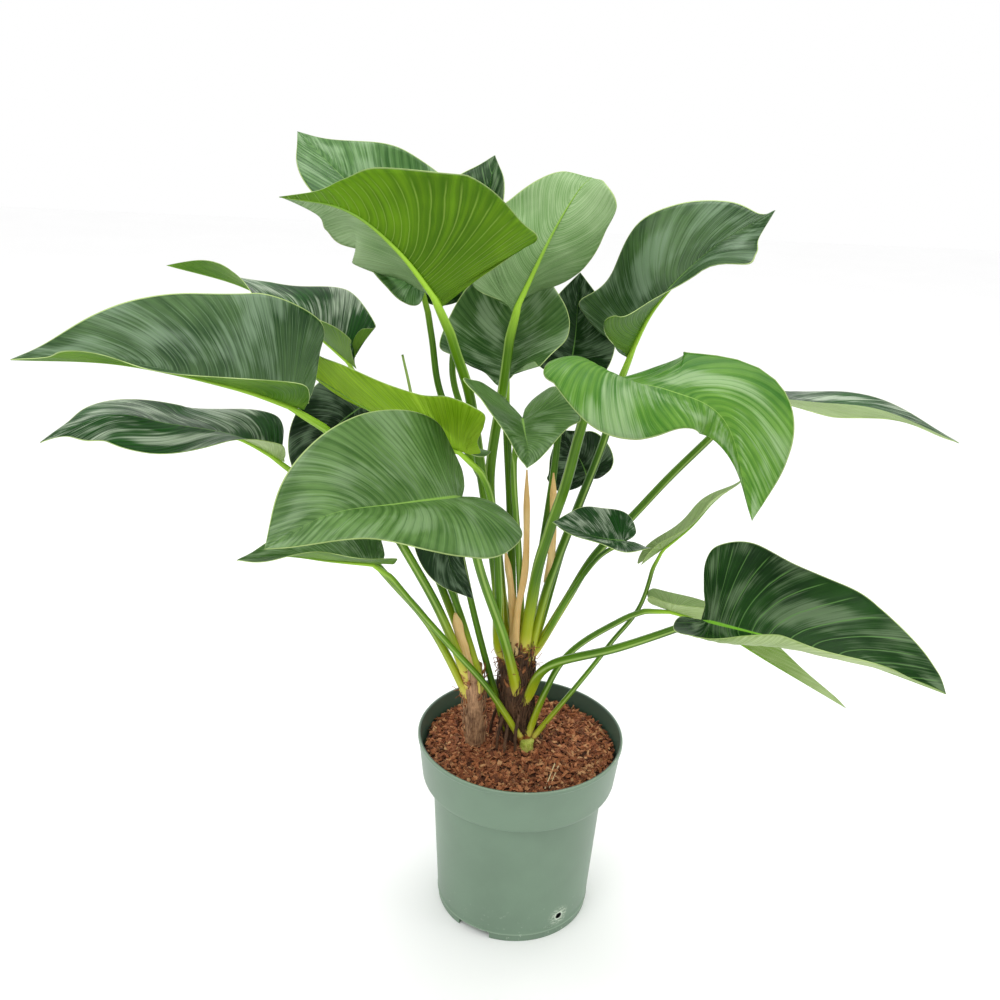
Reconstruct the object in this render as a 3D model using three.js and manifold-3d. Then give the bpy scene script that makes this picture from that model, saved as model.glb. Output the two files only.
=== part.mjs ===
// A potted green beauty philodendron: a grower's pot, its soil, three short stems, the leaves on
// their long stalks, a few dry sheaths and one young rolled leaf. Millimetres, +Z up. The origin is
// the middle of the pot's base, where it rests, and the front of the plant looks along -Y.

import * as THREE from "three";
import { mergeVertices } from "three/addons/utils/BufferGeometryUtils.js";
import Module from "manifold-3d";

const wasm = await Module();
wasm.setup();

// Pot
const RIM_RADIUS = 120;
const POT_HEIGHT = 230;
const WALL = 2.6;
const LIP_HEIGHT = 8;
const COLLAR_BOTTOM = 172;
const COLLAR_RADIUS = 113;
const BODY_TOP_RADIUS = 101;
const BASE_RADIUS = 92;
const FOOT_HEIGHT = 9;
const FOOT_INSET = 0.8;
const FOOT_WIDTH = 5;
const FLOOR = 2.6;
const CHANNEL_HEIGHT = 6;
const DISC_RADIUS = 34;
const DISC_SLOPE = 3;
const STEP_ROUND = 4;
const LIP_OUT = 1.6;
const HOLE_SIDES = 10;
const POT_SEGMENTS = 36;
const FOOT_NOTCH = { width: 42, depth: 30, height: 8.2, turns: [-30, 150] };
const FLOOR_HOLES = { count: 6, radius: 4.5, at: 62 };
const SIDE_HOLE = { radius: 3.5, turn: 36, height: 27 };

// Soil
const SOIL_TOP = 209;
const SOIL_DOME = 7;
const SOIL_RELIEF = 1.2;
const SOIL_RINGS = 6;
const SOIL_SEGMENTS = 32;
const SOIL_SLACK = 1.2;

// Room between neighbours that touch, and how deep the stems stand in the soil
const GAP = 0.35;
const STEM_DEPTH = 60;
const STEM_SIDES = 10;
const STEM_STEP = 13;
const ROOT_SIDES = 5;
const ROOT_STEP = 24;

// Leaves
const BLADE_THICKNESS = 0.8;
const RIB_DEPTH = [4.5, 0.8];
const STALK_SIDES = 6;
const STALK_STEP = 34;
const STALK_FLARE = 1.35;
const STALK_FLARE_LENGTH = 0.2;
const STALK_ROOT_DEPTH = 0.7;
const STALK_SINK = 0.4;
const HINGE_REACH = 7;
const ROOT_DROP = 24;
const SOIL_CLEAR = 14;

// Ribs of a blade: the share of the margin whose ribs leave the hinge and how far those spread along
// the midrib, how the others bunch toward the hinge, how they sweep, and how the midrib thins
const HINGE_SHARE = 0.3;
const HINGE_SPREAD = 0.03;
const RIB_BUNCHING = 2.4;
const RIB_SWEEP = 1.35;
const MIDRIB_THINNING = 0.6;

// The outline of half a blade, as (along, across) points from the hinge round to the tip. Along is
// in midrib lengths, behind the hinge where it is negative, and across is in half widths.
const HEART = [
  [0, 0], [-0.09, 0.12], [-0.17, 0.34], [-0.15, 0.6], [-0.04, 0.84], [0.14, 0.98],
  [0.34, 0.97], [0.56, 0.78], [0.76, 0.47], [0.91, 0.18], [1, 0],
];

// Each leaf: points along its midrib from hinge to tip, the way its upper face looks at both ends, its
// two halves (width, fold up from the midrib at base, middle and tip, and curl in degrees), the wave of
// its margin (height, number, shift), and its stalk from the stem to the hinge with both radii.
const LARGE = { ribs: 10, columns: 3 };
const SMALL = { ribs: 8, columns: 2 };
const LEAVES = [
  {
    name: "leaf_01",
    midrib: [[-72, -130, 573], [-124, -200, 591], [-175, -270, 607], [-215, -335, 603]],
    facing: [[0, -0.54, 0.84], [0, -0.6, 0.8]],
    right: { width: 94, fold: [27, 27, 10], lobe: 0.4 },
    left: { width: 90, fold: [27, 20, 10], curl: [-50, -20, 0], lobe: 0.5 },
    wave: [2, 3, 0],
    stalk: [[-8, -6, 294], [-26, -37, 376], [-53, -77, 472]],
    radius: [8, 5],
    stem: "middle",
    mesh: LARGE,
    ribScale: 1,
  },
  {
    name: "leaf_02",
    midrib: [[50, -70, 678], [116, -108, 680], [173, -112, 652], [197, -164, 575]],
    facing: [[0.04, 0.12, 0.95], [-0.47, -0.77, 0.48]],
    right: {
      width: 90, fold: [57, -10, -48], curl: [-100, -46, 0],
      outline: [
        [0, 0], [-0.01, 0.33], [-0.05, 0.62], [-0.07, 0.86], [-0.03, 1.1], [0.16, 1.11],
        [0.3, 0.83], [0.39, 0.48], [0.53, 0.31], [0.77, 0.08], [1, 0],
      ],
    },
    left: {
      width: 79, fold: [-8, 3, -21], curl: [14, 2, 19],
      outline: [
        [0, 0], [0.08, 0.12], [0.05, 0.35], [0.03, 0.6], [0.12, 0.86], [0.2, 1],
        [0.3, 0.97], [0.64, 0.76], [0.8, 0.52], [0.93, 0.2], [1, 0],
      ],
    },
    wave: [2, 3, 0.1],
    stalk: [[-1, -6, 354], [8, -18, 447], [19, -26, 502], [31, -38, 555], [41, -52, 618]],
    radius: [8, 6],
    stem: "middle",
    mesh: LARGE,
    ribScale: 1,
  },
  {
    name: "leaf_03",
    midrib: [[-101, -35, 734], [-145, -31, 786], [-197, -22, 821], [-271, 31, 824]],
    facing: [[0, 1, 0.35], [0.13, 0.19, 0.55]],
    twist: 3,
    right: {
      width: 78, fold: [66, 27, -17],
      outline: [
        [0, 0], [0.08, 0.31], [0.02, 0.62], [0.08, 0.85], [0.14, 0.95], [0.36, 1],
        [0.76, 0.77], [0.84, 0.54], [0.8, 0.22], [1, 0],
      ],
    },
    left: {
      width: 112, fold: [14, -3, 19], curl: [11, 13, 10],
      outline: [
        [0, 0], [0, 0.31], [-0.01, 0.62], [-0.02, 0.87], [-0.02, 1.03], [0.09, 0.98],
        [0.3, 0.9], [0.51, 0.52], [0.6, 0.28], [0.72, 0.13], [1, 0],
      ],
    },
    wave: [3, 4, 0.2],
    stalk: [
      [-29, 1, 342], [-34, -12, 416], [-43, -14, 479], [-58, -9, 560],
      [-72, -15, 640], [-87, -26, 688],
    ],
    radius: [8, 6],
    stem: "middle",
    mesh: LARGE,
    ribScale: 1,
  },
  {
    name: "leaf_04",
    midrib: [[-31, 13, 722], [2, 28, 794], [29, 54, 839], [43, 65, 853]],
    facing: [[-0.18, 0.44, 0.19], [0.2, 0.18, -1.1]],
    twist: 2,
    right: {
      width: 79, fold: [35, 39, -8],
      outline: [
        [0, 0], [0.03, 0.18], [0.04, 0.63], [0.29, 0.73], [0.51, 0.94], [0.66, 1.04],
        [0.74, 0.97], [0.86, 0.7], [0.98, 0.38], [1, 0],
      ],
    },
    left: {
      width: 57, fold: [54, 22, -3],
      outline: [
        [0, 0], [0.01, 0.35], [0.01, 0.8], [0.12, 1.03], [0.25, 1.13], [0.42, 1],
        [0.7, 0.8], [0.87, 0.86], [0.98, 0.4], [1, 0],
      ],
    },
    wave: [2, 3, 0.3],
    stalk: [[-22, 8, 345], [-35, 7, 446], [-48, 5, 541], [-38, 10, 645]],
    radius: [7, 6],
    stem: "middle",
    mesh: LARGE,
    ribScale: 1,
  },
  {
    name: "leaf_05",
    midrib: [[-227, -97, 642], [-287, -127, 671], [-391, -122, 686], [-484, -139, 690]],
    facing: [[0.26, -0.11, 0.9], [0.18, -0.24, 0.92]],
    right: { width: 104, fold: [46, 34, 23], lobe: 0.15 },
    left: {
      width: 64, fold: [45, 28, 50],
      outline: [
        [0, 0], [0.02, 0.25], [0.03, 0.4], [0.07, 0.62], [0.15, 0.84], [0.31, 0.99],
        [0.54, 0.76], [0.8, 0.45], [0.88, 0.25], [1, 0],
      ],
    },
    wave: [4, 3, 0],
    stalk: [[-68, -14, 319], [-100, -34, 408], [-145, -58, 505], [-186, -82, 593]],
    radius: [7, 5],
    stem: "left",
    mesh: LARGE,
    ribScale: 1,
  },
  {
    name: "leaf_06",
    midrib: [[95, 70, 666], [121, 71, 724], [175, 82, 783], [240, 90, 826]],
    facing: [[-0.56, -0.14, 0.72], [-0.48, -0.65, 0.71]],
    right: {
      width: 85, fold: [58, 30, -29],
      outline: [
        [0, 0], [0.05, 0.2], [0.05, 0.4], [0.08, 0.6], [0.14, 0.84], [0.19, 1.05],
        [0.25, 0.76], [0.66, 0.77], [0.81, 0.44], [0.87, 0.2], [1, 0],
      ],
    },
    left: {
      width: 85, fold: [33, 31, 7],
      outline: [
        [0, 0], [0, 0.13], [0.02, 0.34], [0.03, 0.61], [0.07, 0.84], [0.12, 1.04],
        [0.26, 0.82], [0.53, 0.9], [0.84, 0.45], [0.94, 0.08], [1, 0],
      ],
    },
    wave: [4, 3, 0],
    stalk: [[5, 0, 332], [22, 10, 415], [49, 28, 500], [76, 45, 583]],
    radius: [7, 5],
    stem: "middle",
    mesh: LARGE,
    ribScale: 1,
  },
  {
    name: "leaf_07",
    midrib: [[233, 57, 632], [301, 62, 627], [376, 56, 623], [465, 52, 591]],
    facing: [[0, 0, 1], [0, 0, 1]],
    right: { width: 66, fold: [10, 2, 7], lobe: -0.3 },
    left: { width: 52, fold: [-5, 2, 18], lobe: -0.2 },
    wave: [2, 3, 0.1],
    stalk: [[15, 5, 342], [44, 13, 397], [72, 20, 450], [112, 32, 495], [151, 45, 539], [193, 51, 586]],
    radius: [6, 5],
    stem: "middle",
    mesh: LARGE,
    ribScale: 1,
  },
  {
    name: "leaf_08",
    midrib: [[183, -60, 417], [263, -82, 409], [337, -119, 408], [415, -151, 394]],
    facing: [[-0.09, 0.08, 0.92], [-0.11, 0.29, 0.96]],
    right: {
      width: 101, fold: [-11, 5, 25], curl: [53, 40, 11],
      outline: [
        [0, 0], [-0.09, 0.05], [-0.1, 0.32], [-0.05, 0.59], [0.03, 0.79], [0.16, 1.07],
        [0.36, 1.02], [0.53, 0.72], [0.75, 0.5], [0.86, 0.16], [1, 0],
      ],
    },
    left: {
      width: 107, fold: [48, 32, 34],
      outline: [
        [0, 0], [0, 0.17], [-0.02, 0.34], [-0.04, 0.61], [0, 0.82], [0.15, 1],
        [0.33, 0.93], [0.59, 0.8], [0.84, 0.5], [0.95, 0.24], [1, 0],
      ],
    },
    wave: [2, 3, 0.2],
    stalk: [[7, -6, 284], [28, -25, 334], [102, -45, 372]],
    radius: [7, 5],
    stem: "middle",
    mesh: LARGE,
    ribScale: 1,
  },
  {
    name: "leaf_09",
    midrib: [[-254, -66, 577], [-302, -69, 603], [-363, -80, 616], [-422, -77, 621], [-487, -92, 595]],
    facing: [[-0.32, -0.11, 0.89], [0.19, -0.1, 0.95]],
    right: {
      width: 81, fold: [6, -11, 7],
      outline: [
        [0, 0], [0.03, 0.22], [0.05, 0.4], [0.07, 0.6], [0.12, 0.84], [0.2, 0.94],
        [0.4, 0.93], [0.57, 0.77], [0.8, 0.5], [0.89, 0.18], [1, 0],
      ],
    },
    left: {
      width: 55, fold: [49, -19, -16],
      outline: [
        [0, 0], [0.01, 0.18], [0.01, 0.33], [0.03, 0.59], [0.06, 0.84], [0.13, 1],
        [0.35, 0.82], [0.6, 0.8], [0.8, 0.49], [0.9, 0.12], [1, 0],
      ],
    },
    wave: [2, 3, 0.3],
    stalk: [[-68, -10, 291], [-108, -10, 369], [-154, 0, 419], [-198, 0, 471], [-229, -25, 523]],
    radius: [6, 4],
    stem: "left",
    mesh: LARGE,
    ribScale: 1,
  },
  {
    name: "leaf_10",
    midrib: [[-67, -82, 599], [-118, -66, 609], [-175, -39, 629], [-252, 9, 656]],
    facing: [[-0.22, 0.64, 0.77], [-0.19, 0.79, 0.54]],
    right: { width: 62, fold: [27, 22, 10], lobe: 0.3 },
    left: {
      width: 67, fold: [29, 10, 23],
      outline: [
        [0, 0], [-0.05, 0.13], [-0.03, 0.31], [-0.05, 0.61], [-0.04, 0.9], [0.11, 1],
        [0.25, 0.88], [0.58, 0.78], [0.82, 0.5], [0.97, 0.33], [1, 0],
      ],
    },
    wave: [2, 3, 0.4],
    stalk: [[-31, -6, 346], [-33, -44, 432], [-38, -48, 494], [-48, -76, 560]],
    radius: [6, 4],
    stem: "middle",
    mesh: LARGE,
    ribScale: 1,
  },
  {
    name: "leaf_11",
    midrib: [[-128, 76, 734], [-162, 102, 787], [-219, 128, 834], [-283, 200, 877]],
    facing: [[0, -0.37, 0.9], [0, -0.5, 0.8]],
    right: { width: 85, fold: [21, 19, 0], lobe: 0.5 },
    left: { width: 70, fold: [27, 17, 7], lobe: 0.5 },
    wave: [2, 3, 0],
    stalk: [
      [-21, 18, 345], [-34, 24, 428], [-47, 21, 511], [-77, 32, 569],
      [-106, 45, 625], [-117, 60, 680],
    ],
    radius: [6, 4],
    stem: "middle",
    mesh: LARGE,
    ribScale: 1,
  },
  {
    name: "leaf_12",
    midrib: [[-89, 140, 707], [-72, 157, 772], [-64, 160, 821], [-59, 198, 861]],
    facing: [[-0.26, -0.6, 0.6], [-0.18, -0.63, 0.6]],
    right: { width: 40, fold: [27, 27, 18], lobe: 0.5 },
    left: { width: 78, fold: [27, 32, 23], lobe: 0.5 },
    wave: [2, 3, 0.1],
    stalk: [[-19, 22, 348], [-38, 49, 432], [-57, 50, 524], [-77, 74, 580], [-96, 98, 636]],
    radius: [6, 4],
    stem: "middle",
    mesh: SMALL,
    ribScale: 0.6,
  },
  {
    name: "leaf_13",
    midrib: [[-36, 37, 642], [-30, 66, 681], [-24, 87, 731], [-14, 112, 781]],
    facing: [[-0.23, -0.85, 0.29], [0, -0.9, 0.4]],
    right: {
      width: 67, fold: [39, 12, 10],
      outline: [
        [0, 0], [0.01, 0.11], [0.07, 0.31], [0.08, 0.62], [0.03, 0.83], [0.15, 0.96],
        [0.38, 0.95], [0.55, 0.82], [0.74, 0.46], [0.92, 0.18], [1, 0],
      ],
    },
    left: {
      width: 74, fold: [24, 11, 10],
      outline: [
        [0, 0], [-0.04, 0.1], [0.03, 0.33], [0.05, 0.58], [0.09, 0.82], [0.14, 1.04],
        [0.34, 0.99], [0.57, 0.8], [0.75, 0.46], [0.91, 0.18], [1, 0],
      ],
    },
    wave: [2, 3, 0.2],
    stalk: [[-13, 22, 338], [-19, 30, 424], [-25, 30, 509], [-31, 34, 577]],
    radius: [6, 5],
    stem: "middle",
    mesh: LARGE,
    ribScale: 1,
  },
  {
    name: "leaf_14",
    midrib: [[38, 128, 636], [42, 140, 671], [43, 152, 706], [44, 162, 740]],
    facing: [[0, -0.8, 0.5], [0, -0.8, 0.5]],
    right: { width: 50, fold: [27, 22, 10], lobe: 0.5 },
    left: { width: 50, fold: [27, 22, 10], lobe: 0.5 },
    wave: [2, 3, 0.3],
    stalk: [[3, 20, 345], [13, 36, 437], [22, 52, 527], [27, 70, 590]],
    radius: [6, 4],
    stem: "middle",
    mesh: SMALL,
    ribScale: 0.6,
  },
  {
    name: "leaf_15",
    midrib: [[151, 20, 390], [209, 10, 375], [286, 0, 333], [371, -10, 287]],
    facing: [[0, 0.1, 1], [0.1, 0.1, 1]],
    right: { width: 30, fold: [40, 75, 70], lobe: 0.4 },
    left: { width: 34, fold: [25, 20, 10], lobe: 0.4 },
    wave: [2, 3, 0.4],
    stalk: [[9, -5, 231], [44, 0, 327], [107, 15, 373]],
    radius: [5, 4],
    stem: "front",
    mesh: LARGE,
    ribScale: 1,
  },
  {
    name: "leaf_16",
    midrib: [[145, 40, 448], [182, 55, 476], [209, 70, 503], [244, 90, 525]],
    facing: [[-0.3, 0.3, 0.9], [-0.3, 0.2, 0.9]],
    right: { width: 22, fold: [27, 22, 10], lobe: 1 },
    left: { width: 22, fold: [27, 22, 10], lobe: 1 },
    wave: [2, 3, 0],
    stalk: [[15, -3, 224], [69, 5, 302], [100, 18, 344], [130, 28, 387]],
    radius: [4, 3],
    stem: "front",
    mesh: SMALL,
    ribScale: 0.6,
  },
  {
    name: "leaf_17",
    midrib: [[101, -20, 487], [77, -35, 495], [46, -55, 510], [18, -75, 528]],
    facing: [[0, -0.4, 0.9], [0, -0.4, 0.9]],
    right: { width: 38, fold: [27, 22, 10], lobe: 1 },
    left: { width: 36, fold: [27, 22, 10], lobe: 1 },
    wave: [2, 3, 0.1],
    stalk: [[18, 0, 349], [44, -5, 409], [73, -12, 462]],
    radius: [4, 3],
    stem: "middle",
    mesh: SMALL,
    ribScale: 0.6,
  },
  {
    name: "leaf_18",
    midrib: [[-17, -31, 623], [-14, -70, 618], [-11, -112, 615], [-12, -131, 605]],
    facing: [[0.05, -0.49, 0.85], [0.22, -0.68, 0.67]],
    right: {
      width: 74, fold: [28, 29, 22], curl: [16, 12, 2],
      outline: [
        [0, 0], [-0.15, 0.15], [-0.3, 0.3], [-0.22, 0.6], [-0.07, 0.84], [0.11, 1.07],
        [0.33, 0.96], [0.56, 0.78], [0.71, 0.43], [0.91, 0.18], [1, 0],
      ],
    },
    left: {
      width: 57, fold: [33, 22, 9], curl: [20, 4, 0],
      outline: [
        [0, 0], [-0.18, 0.1], [-0.3, 0.31], [-0.24, 0.62], [-0.06, 0.83], [0.15, 0.96],
        [0.42, 1], [0.52, 0.73], [0.67, 0.45], [0.89, 0.17], [1, 0],
      ],
    },
    wave: [2, 3, 0.2],
    stalk: [[-5, 3, 357], [-12, -5, 452], [-23, -28, 565]],
    radius: [5, 4],
    stem: "middle",
    mesh: SMALL,
    ribScale: 0.6,
  },
  {
    name: "leaf_19",
    midrib: [[66, 105, 511], [56, 115, 530], [43, 125, 544], [31, 135, 559]],
    facing: [[-0.3, -0.8, 0.3], [-0.3, -0.8, 0.3]],
    right: { width: 46, fold: [27, 22, 10], lobe: 0.5 },
    left: { width: 46, fold: [27, 22, 10], lobe: 0.5 },
    wave: [2, 3, 0.3],
    stalk: [[13, 15, 343], [36, 45, 432], [52, 75, 482]],
    radius: [4, 3],
    stem: "middle",
    mesh: SMALL,
    ribScale: 0.6,
  },
  {
    name: "leaf_20",
    midrib: [[-201, 77, 638], [-269, 142, 669], [-346, 189, 700], [-454, 240, 713]],
    facing: [[-0.29, -0.08, 0.64], [-0.33, 0.52, 0.23]],
    right: { width: 62, fold: [44, 18, 48], lobe: -0.44 },
    left: { width: 55, fold: [90, 18, 36], lobe: -0.05 },
    wave: [2, 3, 0.4],
    stalk: [[-64, 0, 322], [-93, 10, 397], [-130, 28, 477], [-165, 45, 556]],
    radius: [6, 4],
    stem: "left",
    mesh: LARGE,
    ribScale: 1,
  },
  {
    name: "leaf_21",
    midrib: [[-182, 30, 614], [-215, 30, 587], [-244, 30, 551], [-260, 30, 509]],
    facing: [[-0.3, -0.7, 0.6], [-0.3, -0.7, 0.6]],
    right: { width: 50, fold: [27, 22, 10], lobe: 0.3 },
    left: { width: 50, fold: [27, 22, 10], lobe: 0.3 },
    wave: [2, 3, 0],
    stalk: [[-50, -15, 305], [-72, -13, 379], [-92, -8, 431], [-111, 0, 481], [-147, 15, 548]],
    radius: [5, 4],
    stem: "left",
    mesh: SMALL,
    ribScale: 0.6,
  },
  {
    name: "leaf_22",
    midrib: [[-158, -60, 466], [-207, -80, 477], [-249, -100, 489], [-293, -120, 491]],
    facing: [[0, -0.1, 1], [0, -0.1, 1]],
    right: { width: 48, fold: [20, 20, 10], lobe: 0.3 },
    left: { width: 48, fold: [35, 35, 10], lobe: 0.3 },
    wave: [2, 3, 0.1],
    stalk: [[0, -8, 227], [-41, -23, 301], [-83, -35, 358], [-122, -49, 413]],
    radius: [5, 4],
    stem: "front",
    mesh: SMALL,
    ribScale: 0.6,
  },
  {
    name: "leaf_23",
    midrib: [[-88, -30, 529], [-92, -36, 498], [-84, -38, 455], [-60, -34, 417]],
    facing: [[-0.2, -0.8, 0.5], [-0.2, -0.8, 0.5]],
    right: { width: 36, fold: [27, 22, 10], lobe: 0.3 },
    left: { width: 24, fold: [27, 22, 10], lobe: 0.3 },
    wave: [2, 3, 0.2],
    stalk: [[-9, 2, 214], [-33, 0, 284], [-59, -8, 384], [-77, -8, 463]],
    radius: [5, 4],
    stem: "front",
    mesh: SMALL,
    ribScale: 0.6,
  },
];

// The three stems, from the soil up
const ROOT_RADIUS = 2.2;
const STEMS = {
  left: {
    name: "stem_left",
    path: [[-52, -2, 202], [-56, -8, 274], [-59, -10, 322]],
    radius: [12, 11],
    rings: { height: 0.05, count: 7 },
    roots: [],
    look: () => LOOK.bark,
  },
  middle: {
    name: "stem_middle",
    path: [[-1, 10, 200], [-7, 8, 267], [-8, 7, 327], [-8, 7, 352]],
    radius: [20, 20],
    rings: { height: 0.03, count: 6 },
    roots: [
      [[-18, -4, 262], [-26, -12, 232], [-27, -18, 204]],
      [[-14, -6, 248], [-18, -22, 222], [-16, -28, 203]],
      [[-2, -8, 262], [-6, -18, 236], [-5, -22, 206]],
      [[8, 10, 258], [20, 6, 232], [30, -4, 205]],
      [[-22, 12, 270], [-33, 14, 236], [-36, 12, 205]],
    ],
    look: () => LOOK.darkBark,
  },
  front: {
    name: "stem_front",
    path: [[8, -12, 206], [8, -13, 226]],
    radius: [9, 8],
    rings: { height: 0, count: 1 },
    roots: [],
    look: () => LOOK.crown,
  },
};

// Dry sheaths and the young rolled leaf: narrow strips that stand among the stalks
const STRIPS = [
  {
    name: "young_leaf",
    path: [[-62, 0, 322], [-112, 10, 513], [-134, 20, 622], [-145, 22, 670]],
    radius: [5, 1.2],
    flat: 1,
    look: () => LOOK.young,
  },
  {
    name: "sheath_1",
    path: [[-12, -12, 338], [-11, -15, 395], [-5, -13, 454], [-9, -8, 559]],
    radius: [4, 3],
    flat: 0.3,
    look: () => LOOK.sheath,
  },
  {
    name: "sheath_2",
    path: [[10, 8, 340], [24, 14, 445], [21, 22, 546]],
    radius: [5, 3],
    flat: 0.3,
    look: () => LOOK.sheath,
  },
  {
    name: "sheath_3",
    path: [[-12, -8, 345], [-19, -8, 416], [-28, -8, 466]],
    radius: [5, 3],
    flat: 0.3,
    look: () => LOOK.sheath,
  },
  {
    name: "sheath_4",
    path: [[-62, -16, 316], [-72, -20, 357], [-80, -20, 392]],
    radius: [7, 5],
    flat: 0.3,
    look: () => LOOK.sheath,
  },
];

// Catmull-Rom curve through a list of points of any size
function through(points, t) {
  const last = points.length - 1;
  const place = Math.min(Math.max(t, 0), 1) * last;
  const i = Math.min(Math.floor(place), last - 1);
  const f = place - i;
  const b = points[i];
  const c = points[i + 1];
  const a = i > 0 ? points[i - 1] : b.map((value, k) => 2 * value - c[k]);
  const d = i + 2 <= last ? points[i + 2] : c.map((value, k) => 2 * value - b[k]);
  return b.map((value, k) => 0.5 * (
    2 * value + (c[k] - a[k]) * f + (2 * a[k] - 5 * value + 4 * c[k] - d[k]) * f ** 2
    + (3 * value - a[k] - 3 * c[k] + d[k]) * f ** 3
  ));
}

// Points of a curve evenly spaced along its length, with the curve's length
function evenly(points, steps) {
  const fine = [];
  for (let i = 0; i <= 40 * points.length; i += 1) {
    fine.push(new THREE.Vector3(...through(points, i / (40 * points.length))));
  }
  const run = [0];
  for (let i = 1; i < fine.length; i += 1) {
    run.push(run[i - 1] + fine[i].distanceTo(fine[i - 1]));
  }
  const length = run[run.length - 1];
  const out = [];
  let k = 1;
  for (let i = 0; i <= steps; i += 1) {
    const target = (length * i) / steps;
    while (k < run.length - 1 && run[k] < target) {
      k += 1;
    }
    const f = (target - run[k - 1]) / (run[k] - run[k - 1]);
    out.push(fine[k - 1].clone().lerp(fine[k], f));
  }
  return { points: out, length };
}

// A value given at the base, the middle and the tip, blended smoothly along a run from 0 to 1
function blend([base, middle, tip], a) {
  const t = Math.min(Math.max(a, 0), 1);
  const smooth = (x) => x * x * (3 - 2 * x);
  return t < 0.5
    ? base + (middle - base) * smooth(t / 0.5)
    : middle + (tip - middle) * smooth((t - 0.5) / 0.5);
}

// A closed mesh, given as points and triangles, as a solid
function solid(points, triangles) {
  const geometry = new THREE.BufferGeometry();
  const numbers = points.flatMap((p) => p.toArray());
  geometry.setAttribute("position", new THREE.Float32BufferAttribute(numbers, 3));
  geometry.setIndex(triangles.flat());
  return solidOf(geometry);
}

function solidOf(geometry) {
  const bare = geometry.clone();
  bare.deleteAttribute("normal");
  bare.deleteAttribute("uv");
  const merged = mergeVertices(bare, 1e-4);
  return new wasm.Manifold(new wasm.Mesh({
    numProp: 3,
    vertProperties: new Float32Array(merged.attributes.position.array),
    triVerts: new Uint32Array(merged.index.array),
  }));
}

// The largest body of a solid, without the scraps that a cut left loose
function largest(shape) {
  return shape.decompose().reduce((best, body) => (body.volume() > best.volume() ? body : best));
}

// A tube through a list of points, closed by flat ends. The radius comes from a function of the
// distance along it, and flat makes its section an ellipse whose wide side faces the front.
function tube(points, radius, { sides = STALK_SIDES, step = STALK_STEP, flat = 1 } = {}) {
  const length = evenly(points, 2).length;
  const steps = Math.max(3, Math.round(length / step));
  const path = evenly(points, steps).points;
  const rings = [];
  let across = new THREE.Vector3(1, 0, 0);
  path.forEach((centre, i) => {
    const before = path[Math.max(i - 1, 0)];
    const after = path[Math.min(i + 1, steps)];
    const along = after.clone().sub(before).normalize();
    across = across.clone().addScaledVector(along, -across.dot(along)).normalize();
    const other = along.clone().cross(across);
    const r = radius(i / steps);
    for (let k = 0; k < sides; k += 1) {
      const turn = (2 * Math.PI * k) / sides;
      rings.push(centre.clone()
        .addScaledVector(across, r * Math.cos(turn))
        .addScaledVector(other, r * flat * Math.sin(turn)));
    }
  });
  const start = rings.push(path[0].clone()) - 1;
  const end = rings.push(path[steps].clone()) - 1;
  const triangles = [];
  for (let k = 0; k < sides; k += 1) {
    const next = (k + 1) % sides;
    triangles.push([start, next, k]);
    triangles.push([end, steps * sides + k, steps * sides + next]);
    for (let i = 0; i < steps; i += 1) {
      const a = i * sides + k;
      const b = i * sides + next;
      triangles.push([a, b, b + sides], [a, b + sides, a + sides]);
    }
  }
  return solid(rings, triangles);
}

// Both faces of a sheet and the wall round its edge. Each face is the sheet moved along its normals,
// and both are split into triangles alike, so they never cross.
function thicken(points, triangles, above, below) {
  const normals = points.map(() => new THREE.Vector3());
  triangles.forEach(([a, b, c]) => {
    const face = points[b].clone().sub(points[a]).cross(points[c].clone().sub(points[a]));
    [a, b, c].forEach((i) => normals[i].add(face));
  });
  normals.forEach((normal) => normal.normalize());
  const upper = points.map((p, i) => p.clone().addScaledVector(normals[i], above(i)));
  const lower = points.map((p, i) => p.clone().addScaledVector(normals[i], -below(i)));
  const count = points.length;
  const edges = new Set(triangles.flatMap(([a, b, c]) => [`${a},${b}`, `${b},${c}`, `${c},${a}`]));
  const walls = [];
  edges.forEach((edge) => {
    const [a, b] = edge.split(",").map(Number);
    if (!edges.has(`${b},${a}`)) {
      walls.push([b, a, a + count], [b, a + count, b + count]);
    }
  });
  const under = triangles.map(([a, b, c]) => [a + count, c + count, b + count]);
  return solid([...upper, ...lower], [...triangles, ...under, ...walls]);
}

// The frame that a blade hangs on: points along the midrib, with the direction that the upper face
// looks in and the direction across the blade to its right half
function midribFrame(leaf) {
  const steps = 100;
  const { points, length } = evenly(leaf.midrib, steps);
  const [start, end] = leaf.facing.map((v) => new THREE.Vector3(...v));
  const frames = points.map((point, i) => {
    const along = points[Math.min(i + 1, steps)].clone().sub(points[Math.max(i - 1, 0)]).normalize();
    const up = start.clone().lerp(end, (i / steps) ** (leaf.twist ?? 1));
    up.addScaledVector(along, -up.dot(along)).normalize();
    return { point, along, up, across: along.clone().cross(up) };
  });
  const at = (a) => {
    const place = Math.min(Math.max(a, 0), 1) * steps;
    const i = Math.min(Math.floor(place), steps - 1);
    const f = place - i;
    const mix = (key) => frames[i][key].clone().lerp(frames[i + 1][key], f);
    const point = mix("point").addScaledVector(frames[0].along, Math.min(a, 0) * length);
    return { point, up: mix("up").normalize(), across: mix("across").normalize() };
  };
  return { at, length, along: frames[0].along, up: frames[0].up };
}

// Where rib number s (0 to 1) leaves the midrib
function ribRoot(s) {
  if (s < HINGE_SHARE) {
    return (HINGE_SPREAD * s) / HINGE_SHARE;
  }
  return HINGE_SPREAD + (1 - HINGE_SPREAD) * ((s - HINGE_SHARE) / (1 - HINGE_SHARE)) ** RIB_BUNCHING;
}

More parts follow.
